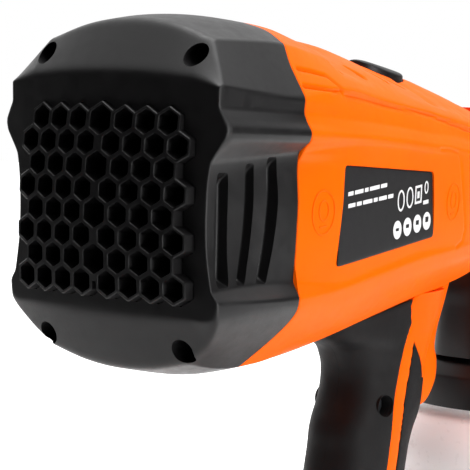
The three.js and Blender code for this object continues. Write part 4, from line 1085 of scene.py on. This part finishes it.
def build_housings():
    right = loft("housing_shell_right", housing_half())
    left = mirrored(right, "housing_shell_left")
    solid = copy_of(right, "solid_right")
    solid_left = mirrored(right, "solid_left")
    body = boolean(copy_of(solid, "belly_form"), block("seam_fill", -1, 1, 60, 214, -30, 40), "UNION")
    boolean(body, solid_left, "UNION")
    bpy.data.objects.remove(solid)
    hollow = cavity()
    core = handle_solid("core", 2.5, -29, -182, n=96, step=3)
    bare = handle_solid("bare", 0.12, -29, -182, lambda x, y, z: eased(stripe_edge(y, z), 0.9, 0.35))
    boolean(bare, stripe(0), "INTERSECT")
    join(core, bare)
    cut(core, handle_solid("hollow", 5, -28, -183, n=64, step=4))
    boolean(core, hollow, keep=True)
    for side, shell in ((1, right), (-1, left)):
        boolean(shell, hollow, keep=True)
        half = half_space(side, GAP / 2, 80, -230, 90)
        join(shell, boolean(copy_of(core, "core_half"), half, "INTERSECT"))
        cut(shell, *housing_cutters(), merged(handle_holes(0.3)))
        if side > 0:
            join(shell, *side_marks())
            cut(shell, label_block("recess", 0.2, [(3.0, 0), (-0.95, 0)]))
        largest_part(shell)
        node = "housing_right" if side > 0 else "housing_left"
        finish_piece(shell, "gun", ORANGE, [node], 40)
    for one in (hollow, core):
        bpy.data.objects.remove(one)
    body.data.transform(Matrix.Translation((0, 0, -GAP / 1000)))
    return body


def build_label():
    plate = label_block("label_face", 0.0, [(-0.40, 2.5), (-0.40, 0.6), (-0.42, 0.25), (-0.5, 0), (-0.9, 0)])
    finish_piece(plate, "gun", LABEL, ["label_plate"])
    build_print()


def flat(outline, hole=None):
    """A thin printed shape on the label, from a (y, z) outline."""
    def one(line, off0, off1):
        return loft("mark", [[(panel_x(y) + off, y, z) for y, z in line] for off in (off0, off1)])
    shape = one(outline, -0.5, -0.30)
    return cut(shape, one(hole, -0.7, 0.2)) if hole is not None else shape


def disc(cy, cz, ry, rz, n=40):
    a = np.arange(n) / n * math.tau
    return np.stack([cy + ry * np.cos(a), cz + rz * np.sin(a)], -1)


def bar(y0, z0, y1, z1, tall):
    return np.array([(y0, z0), (y1, z1), (y1, z1 + tall), (y0, z0 + tall)])


def build_print():
    """Plain dashes, rings and discs: no lettering."""
    marks = []
    for start, end, dashes in (((74.1, 3.4), (102, 6.5), (3.4, 5.6, 2.4, 6.6, 4.2)),
                               ((74.5, -0.4), (106, 2.8), (4.6, 3.2, 6.2, 2.6, 5.4, 3.6))):
        slope = (end[1] - start[1]) / (end[0] - start[0])
        y = start[0]
        for length in dashes:
            z = start[1] + slope * (y - start[0])
            marks.append(flat(bar(y, z, y + length, z + slope * length, 1.3)))
            y += length + 1.0
    for cy, cz in ((111.0, 1.6), (117.4, 2.6)):
        marks.append(flat(disc(cy, cz, 2.5, 3.6), disc(cy, cz, 1.8, 2.9)))
    marks.append(flat(bar(121.2, 0.2, 126.2, 0.8, 6.2), bar(122.0, 1.1, 125.4, 1.5, 4.6)))
    marks.append(flat(bar(122.9, 2.2, 124.5, 2.4, 2.3)))
    marks.append(flat(disc(129.6, 6.0, 1.5, 2.2), disc(129.6, 6.0, 0.9, 1.6)))
    marks.append(flat(bar(127.6, 0.1, 131.6, 0.5, 1.3)))
    for k, (cy, cz) in enumerate(((109.3, -8.2), (116.6, -7.3), (123.9, -6.4), (131.0, -5.6))):
        marks.append(flat(disc(cy, cz, 2.95, 3.1),
                          bar(cy - 1.2, cz - 0.5, cy + 1.2, cz - 0.3, 1.0 + 0.3 * k)))
    finish_piece(merged(marks), "gun", INK)


def skin_x(y, z):
    """The x of the side's skin."""
    row = SKIN[int(round(y - SKIN_YS[0]))]
    side = row[(row[:, 1] < 14) & (row[:, 1] > -14)][::-1]
    return float(np.interp(z, side[:, 1], side[:, 0]))


def bead(points, radius, closed):
    """A thin raised line on the side's skin, from (y, z) points."""
    rings = []
    p = np.asarray(points, float)
    n = len(p)
    for i in range(n):
        d = p[(i + 1) % n if closed else min(i + 1, n - 1)] - p[(i - 1) % n if closed else max(i - 1, 0)]
        d /= np.linalg.norm(d)
        a = np.arange(10) / 10 * math.tau
        y = p[i, 0] - d[1] * radius * np.cos(a)
        z = p[i, 1] + d[0] * radius * np.cos(a)
        x = skin_x(*p[i]) + 0.02 + radius * np.sin(a)
        rings.append(np.stack([x, y, z], -1))
    if not closed:
        return loft("bead", rings)
    return sleeve("bead", rings)


def side_marks():
    """Two oval lines with a plain mark inside."""
    out = []
    for cy, cz, ry, rz in ((59.7, -1.6, 6.0, 6.9), (150.9, 0.8, 5.0, 6.5)):
        out.append(bead(disc(cy, cz, ry, rz, 72), 0.30, True))
        out.append(bead(disc(cy, cz + 0.6, ry * 0.42, rz * 0.46, 40), 0.26, True))
        out.append(bead([(cy - ry * 0.3, cz - rz * 0.66), (cy + ry * 0.3, cz - rz * 0.6)], 0.26, False))
    return out


# ---- trigger ----
BLADE = np.array([(-12, 182, 197, 7), (-22, 183, 201, 7.2), (-31, 183, 203, 7.4), (-37, 181.4, 200.6, 7.6),
                  (-53, 178, 194, 7.8), (-57, 178.4, 193.6, 7.8), (-60, 178.8, 195, 7.8),
                  (-71, 181, 193.6, 7.8),
                  (-75, 181.4, 190, 7.4), (-78.5, 182, 186, 6.4)], float)


BLADE_END = -78.5


def blade_ring(z, y0, y1, b, n=24):
    r = min(b, (y1 - y0) * 0.5)
    a = np.linspace(-math.pi / 2, math.pi / 2, n)
    front = np.stack([b * np.sin(a), y1 - r + r * np.cos(a) ** 0.8], -1)
    back = rounded([(b, y0), (-b, y0)], 0)
    c = 1.6
    turn = np.linspace(0, math.pi / 2, 6)
    right = np.stack([b - c + c * np.cos(turn), y0 + c - c * np.sin(turn)], -1)
    left = right[::-1] * np.array([-1, 1])
    line = np.concatenate([front, right, left])
    return np.stack([line[:, 0], line[:, 1], np.full(len(line), z)], -1)


def build_trigger():
    order = np.argsort(BLADE[:, 0])
    table = BLADE[order]
    zs = np.concatenate([BLADE_END + np.array([0, 0.2, 0.7, 1.5]), np.linspace(-76, -12, 66)])
    rows = hermite(table[:, 0], table[:, 1:], np.minimum(zs, -12.001))
    rings = []
    for z, (y0, y1, b) in zip(zs, rows):
        tip = eased(z - BLADE_END, 1.5, 0.9)
        rings.append(blade_ring(z, y0 + tip, y1 - tip, b - tip))
    trigger = loft("trigger_lever", rings)
    arm = [(184, 26), (191, 28), (196, 24), (197, -11), (197, -16), (181, -16), (181, -11), (184.6, -8),
           (184.6, 12)]
    join(trigger, block("bar", -16.6, 16.6, 181, 197, -16, -11))
    join(trigger, prism("arm", arm, 12.6, 16.6, 1.0), prism("arm", arm, -16.6, -12.6, 1.0))
    join(trigger, block("cross", -16, 16, 189.3, 192.8, AXIS_Z - 6.5, AXIS_Z - 3.2))
    for side in (1, -1):
        x0, x1 = sorted((2.9 * side, 6 * side))
        join(trigger, block("prong", x0, x1, 189.3, 192.8, AXIS_Z - 5, AXIS_Z + 3))
    cut(trigger, rod("hinge", 2.3, -30, 30, "x", (0, *HINGE), 32))
    finish_piece(trigger, "trigger", ORANGE, ["trigger"], 36)


# ---- spray head, lid and container ----
def super_ring(z, yc, a, b, power, n=96):
    t = np.arange(n) / n * 2 * math.pi
    c, s = np.cos(t), np.sin(t)
    x, y = signed_power(c, 2 / power) * b, yc + signed_power(s, 2 / power) * a
    return np.stack([x, y, np.full(n, float(z))], -1)


def build_head():
    at = (0, 0, AXIS_Z)
    head = turned("spray_head",
                  [(0, 226.8), (26, 226.8), (26.4, 228), (26.4, 232.6), (24, 234.6), (22.4, 238),
                                 (22.4, 262), (21, 270), (17.6, 280), (16.4, 281), (16.4, 290), (0, 290)],
                  "y", at,
                  128, 0.6)
    rows = np.array([(-64, 251.4, 31, 20), (-58, 250.6, 31, 19), (-44, 249, 30, 18), (-34, 249, 30, 18),
                     (-26, 251, 27.6, 17.6), (-22.2, 253.6, 25, 17.4), (-4, 253.6, 25, 16)], float)
    zs = np.linspace(-64, -4.001, 40)
    neck = loft("neck", [super_ring(z, *r, 3) for z, r in zip(zs, hermite(rows[:, 0], rows[:, 1:], zs))])
    join(head, neck)
    for k in range(3):
        join(head, turned("band", [(21.5, 241 + k * 5), (22.9, 241.5 + k * 5), (22.9, 243.5 + k * 5),
                                   (21.5, 244 + k * 5)], "y", at, 128, 0.3))
    cut(head, rod("socket", 12, -68, -60, "z", (0, JAR_Y, 0)))
    cut(head, rod("room", 19, 225, 240, "y", at))
    cut(head, rod("bore", 13, 285, 292, "y", at))
    finish_piece(head, "gun", BLACK, ["head_body"])

    # the lock collar's deep red-orange is painted shade and painted bounced light for the gap between the
    # housing's nose and the black head
    ring = turned("lock_collar",
                  [(23, NOSE_Y + 0.5), (26.4, NOSE_Y + 0.5), (27.4, NOSE_Y + 1.6), (27.4, NOSE_Y + 9),
                                  (26.6, NOSE_Y + 10.2), (23, NOSE_Y + 10.2)], "y", at, 128, 0.4)
    lug = block("lug", -6, 6, NOSE_Y + 1.6, NOSE_Y + 9, AXIS_Z + 25, AXIS_Z + 29.6, 1.0)
    join(ring, lug)
    finish_piece(ring, "lock_ring", LOCK_PAINTED_SHADE, ["lock_ring"])

    nozzle = turned("nozzle", [(4, 278), (4.2, 284.4), (8.4, 284.4), (8.6, 291), (5.6, 295.6), (3.4, 298.6),
                               (2.7, 303.6), (1.2, 303.6), (2.6, 294), (2.6, 278)], "y", at, 64, 0.25)
    finish_piece(nozzle, "gun", BLACK, ["fluid_nozzle"])

    cap = turned("spray_cap",
                 [(3.9, 300.6), (11, 297.4), (16.6, 294), (16.6, 291), (18.2, 291), (18.2, 296.6),
                               (15.6, 297.4), (14.6, 300.6), (9, 303.4), (3.9, 303.4)], "y", at, 96, 0.4)
    horn = [(301, 8.4), (303.4, 8.6), (310.6, 9.6), (311.6, 13.4), (308.4, 15.2), (301, 13.6)]
    for side in (1, -1):
        join(cap, prism("horn", [(y, AXIS_Z + side * z) for y, z in horn], -4, 4, 0.8))
        cut(cap, rod("jet", 0.9, 305, 320, "y", (0, 0, AXIS_Z + side * 11.8), 16))
    finish_piece(cap, "air_cap", BLACK, ["air_cap"])

    collar = turned("cap_collar", [(16.9, 281.6), (21.4, 281.6), (22.4, 282.8), (22.4, 294), (20.6, 298.6),
                                   (16, 298.6), (16, 297.9), (18.7, 297.2), (18.7, 290.6), (16.9, 290.4)],
                    "y", at,
                    128, 0.5)
    for k in range(8):
        rib = block("rib", -1.6, 1.6, 283.4, 293.4, 20.6, 23.5, 0.8)
        turn_about(rib, "Y", at, math.radians(45 * k), lift=AXIS_Z)
        join(collar, rib)
    finish_piece(collar, "cap_ring", ORANGE, ["retaining_ring"])

    z = AXIS_Z + 23
    knob = turned("knob", [(0, z), (4, z), (4, z + 1.4), (9.6, z + 1.4), (10, z + 2), (9.4, z + 9.4),
                           (8.4, z + 10.4), (0, z + 10.4)], "z", (0, 248, 0), 96, 0.7)
    for k in range(14):
        a = math.tau * k / 14
        cut(knob, rod("flute", 0.9, z + 2.6, z + 12, "z", (10.3 * math.cos(a), 248 + 10.3 * math.sin(a), 0),
                      16))
    finish_piece(knob, "flow_knob", ORANGE, ["flow_knob"])


def turn_about(obj, axis, at, angle, lift=0.0):
    """Turns a mesh about an axis through at, after raising it by lift."""
    centre = Vector((Vector(at) + Vector(ORIGIN)) / 1000)
    turn = Matrix.Translation(centre) @ Matrix.Rotation(angle, 4, axis) @ Matrix.Translation(-centre)
    obj.data.transform(turn @ Matrix.Translation((0, 0, lift / 1000)))


def build_lid():
    at = (0, JAR_Y, 0)
    lid = turned("lid_cap",
                 [(8.2, -74), (12, -74), (12, -68.4), (14, -67.6), (38.4, -70.6), (38.4, -84.6), (41, -84.6),
                             (41, -72), (39.6, -69.6), (37.6, -66.4), (33.6, -64.8), (22, -64.4), (14, -64.4),
                             (11.4, -63.8), (11.4, -60.6), (8.2, -60.6)], "z", at, 160, 0.7)
    join(lid, rod("valve", 4.2, -70, -62.6, "z", (-29, JAR_Y - 6, 0), 48))
    cut(lid, rod("port", 2, -80, -60, "z", (-29, JAR_Y - 6, 0), 24))
    finish_piece(lid, "gun", BLACK, ["lid"])
    gasket = turned("gasket_ring", [(31, -73.6), (38, -73.6), (38, -71.6), (31, -71.6)], "z", at, 96, 0.5)
    finish_piece(gasket, "gun", SEAL, ["lid_gasket"])


def build_container():
    outer = [(0, -200), (38, -200), (45.5, -198.4), (47.5, -194), (47.5, -104), (46.4, -97), (42.4, -90.4),
             (37.8, -87.4), (37.8, -73.9), (35.4, -73.9), (35.4, -89), (40.6, -92.6), (44.2, -98.4),
             (45.3, -104.4),
             (45.3, -192.6), (43.4, -196), (38, -197.4), (0, -197.4)]
    radius = [0, 2, 3, 3, 4, 4, 3, 1.2, 0.5, 0.5, 1.2, 3, 4, 4, 3, 2, 2, 0]
    jar = turned("container_jar", outer, "z", (0, JAR_Y, 0), 160, radius, 6)
    for k in range(3):
        join(jar, turned("thread", [(37.3, -85 + k * 3.6), (38.25, -84.4 + k * 3.6), (38.25, -83.6 + k * 3.6),
                                    (37.3, -83 + k * 3.6)], "z", (0, JAR_Y, 0), 160, 0.2))
    finish_piece(jar, "container", JAR, ["paint_container"])


def tube(name, points, outer, inner, body, material, node):
    curve = fine(points, 2.0)
    rings = []
    for r in (outer, inner):
        ring = []
        for i, p in enumerate(curve):
            d = curve[min(i + 1, len(curve) - 1)] - curve[max(i - 1, 0)]
            d /= np.linalg.norm(d)
            u = np.cross(d, (1, 0, 0))
            u /= np.linalg.norm(u)
            v = np.cross(d, u)
            a = np.arange(40) / 40 * math.tau
            ring.append(p + r * (np.cos(a)[:, None] * u + np.sin(a)[:, None] * v))
        rings.append(ring)
    return finish_piece(sleeve(name, rings[0] + rings[1][::-1]), body, material, [node])


def build_tubes():
    y = JAR_Y
    tube("suction_pipe",
         [(0, y, -61.4), (0, y, -90), (0, y + 3, -130), (0, y + 16, -168), (0, y + 25.5, -189)], 4.9,
         3.2, "gun", CLEAR, "suction_tube")
    tube("air_line", [(-29, y - 6, -61.8), (-30, y - 8, -52), (-31, y - 14, -40), (-28.4, y - 19, -27),
                      (-23.4, y - 21, -19)], 2.95, 1.8, "gun", CLEAR, "air_hose")


# ---- studio ----
def add_light(name, at, target, size, power):
    data = bpy.data.lights.new(name, "AREA")
    data.shape, data.size, data.size_y = "RECTANGLE", size[0], size[1]
    data.energy = power
    light = bpy.data.objects.new(name, data)
    light.location = at
    light.rotation_euler = (Vector(target) - Vector(at)).to_track_quat("-Z", "Y").to_euler()
    bpy.context.scene.collection.objects.link(light)


def build_studio():
    floor = add_mesh("studio_floor", np.array([(-6000, -6000, 0), (6000, -6000, 0), (6000, 6000, 0),
                                               (-6000, 6000, 0)]) - ORIGIN - np.array([0, 0, 0.1]),
                     [[0, 1, 2, 3]])
    # the floor's material: pale white, with a painted glow in its emission set below
    n = Nodes("studio_floor_painted_glow")
    n.shader.inputs["Base Color"].default_value = (0.9, 0.9, 0.9, 1)
    n.shader.inputs["Roughness"].default_value = 0.9
    n.shader.inputs["Specular IOR Level"].default_value = 0.1
    n.shader.inputs["Emission Color"].default_value = (1, 1, 1, 1)
    # painted glow: the floor emits light of its own, full in front of and under the object and fading to
    # nothing well behind it, standing in for a lit sweep and the light it throws up onto the object
    apart = n.add("ShaderNodeSeparateXYZ")
    n.link(n.coords, apart.inputs[0])
    fade = n.add("ShaderNodeMapRange", interpolation_type="SMOOTHSTEP")
    fade.inputs["From Min"].default_value, fade.inputs["From Max"].default_value = -0.4, 0.3
    fade.inputs["To Min"].default_value, fade.inputs["To Max"].default_value = 0.08, 0.8
    n.link(apart.outputs["Y"], fade.inputs["Value"])
    n.link(fade.outputs["Result"], n.shader.inputs["Emission Strength"])
    floor.data.materials.append(n.material)
    dark = Nodes("studio_black")
    dark.shader.inputs["Base Color"].default_value = (0.01, 0.01, 0.01, 1)
    dark.shader.inputs["Roughness"].default_value = 1.0
    dark.shader.inputs["Specular IOR Level"].default_value = 0.0
    # black flags keep the rear face and the right side dark; they never show
    for name, (x0, y0), (x1, y1), top in (("studio_flag", (-1400, -560), (700, -560), 500),
                                          ("studio_flag_right", (941, 236), (221, 776), 700)):
        corners = np.array([(x0, y0, 5), (x1, y1, 5), (x1, y1, top), (x0, y0, top)]) - ORIGIN
        flag = add_mesh(name, corners, [[0, 1, 2, 3]])
        flag.data.materials.append(dark.material)
        flag.visible_camera = False
    world = bpy.data.worlds.new("studio")
    bpy.context.scene.world = world
    world.use_nodes = True
    tree = world.node_tree
    back = tree.nodes["Background"]
    coords = tree.nodes.new("ShaderNodeTexCoord")
    dot = tree.nodes.new("ShaderNodeVectorMath")
    dot.operation = "DOT_PRODUCT"
    dot.inputs[1].default_value = (-0.3, 0.2, 0.93)
    tree.links.new(coords.outputs["Generated"], dot.inputs[0])
    ramp = tree.nodes.new("ShaderNodeMapRange")
    ramp.inputs["From Min"].default_value, ramp.inputs["From Max"].default_value = -0.15, 0.9
    ramp.inputs["To Min"].default_value, ramp.inputs["To Max"].default_value = 0.0, 1.15
    tree.links.new(dot.outputs["Value"], ramp.inputs["Value"])
    path = tree.nodes.new("ShaderNodeLightPath")
    pick = tree.nodes.new("ShaderNodeMix")
    pick.data_type = "FLOAT"
    tree.links.new(path.outputs["Is Camera Ray"], pick.inputs[0])
    tree.links.new(ramp.outputs["Result"], pick.inputs[2])
    pick.inputs[3].default_value = 1.0
    tree.links.new(pick.outputs[0], back.inputs["Strength"])
    back.inputs["Color"].default_value = (1, 1, 1, 1)
    add_light("top", (0.05, -0.1, 1.05), (0, -0.12, 0.2), (0.8, 0.8), 8.5)
    add_light("right", (1.0, 0.05, 0.55), (0, -0.12, 0.18), (0.6, 0.6), 4.4)
    add_light("fill", (0.75, -0.25, 0.12), (0, 0, 0.06), (0.25, 0.25), 1.5)
    add_light("left", (-0.9, 0.1, 0.35), (0, -0.15, 0.18), (0.5, 0.8), 1.0)
    view = bpy.context.scene.view_settings
    view.view_transform, view.look, view.exposure, view.gamma = "Standard", "None", 0.0, 1.0


# ---- assembly ----
dress_cad_nodes()
build_cover()
build_grille()
belly_form = build_housings()
build_grips(belly_form)
build_foot()
build_label()
build_button()
build_trigger()
build_head()
build_lid()
build_container()
build_tubes()
build_studio()
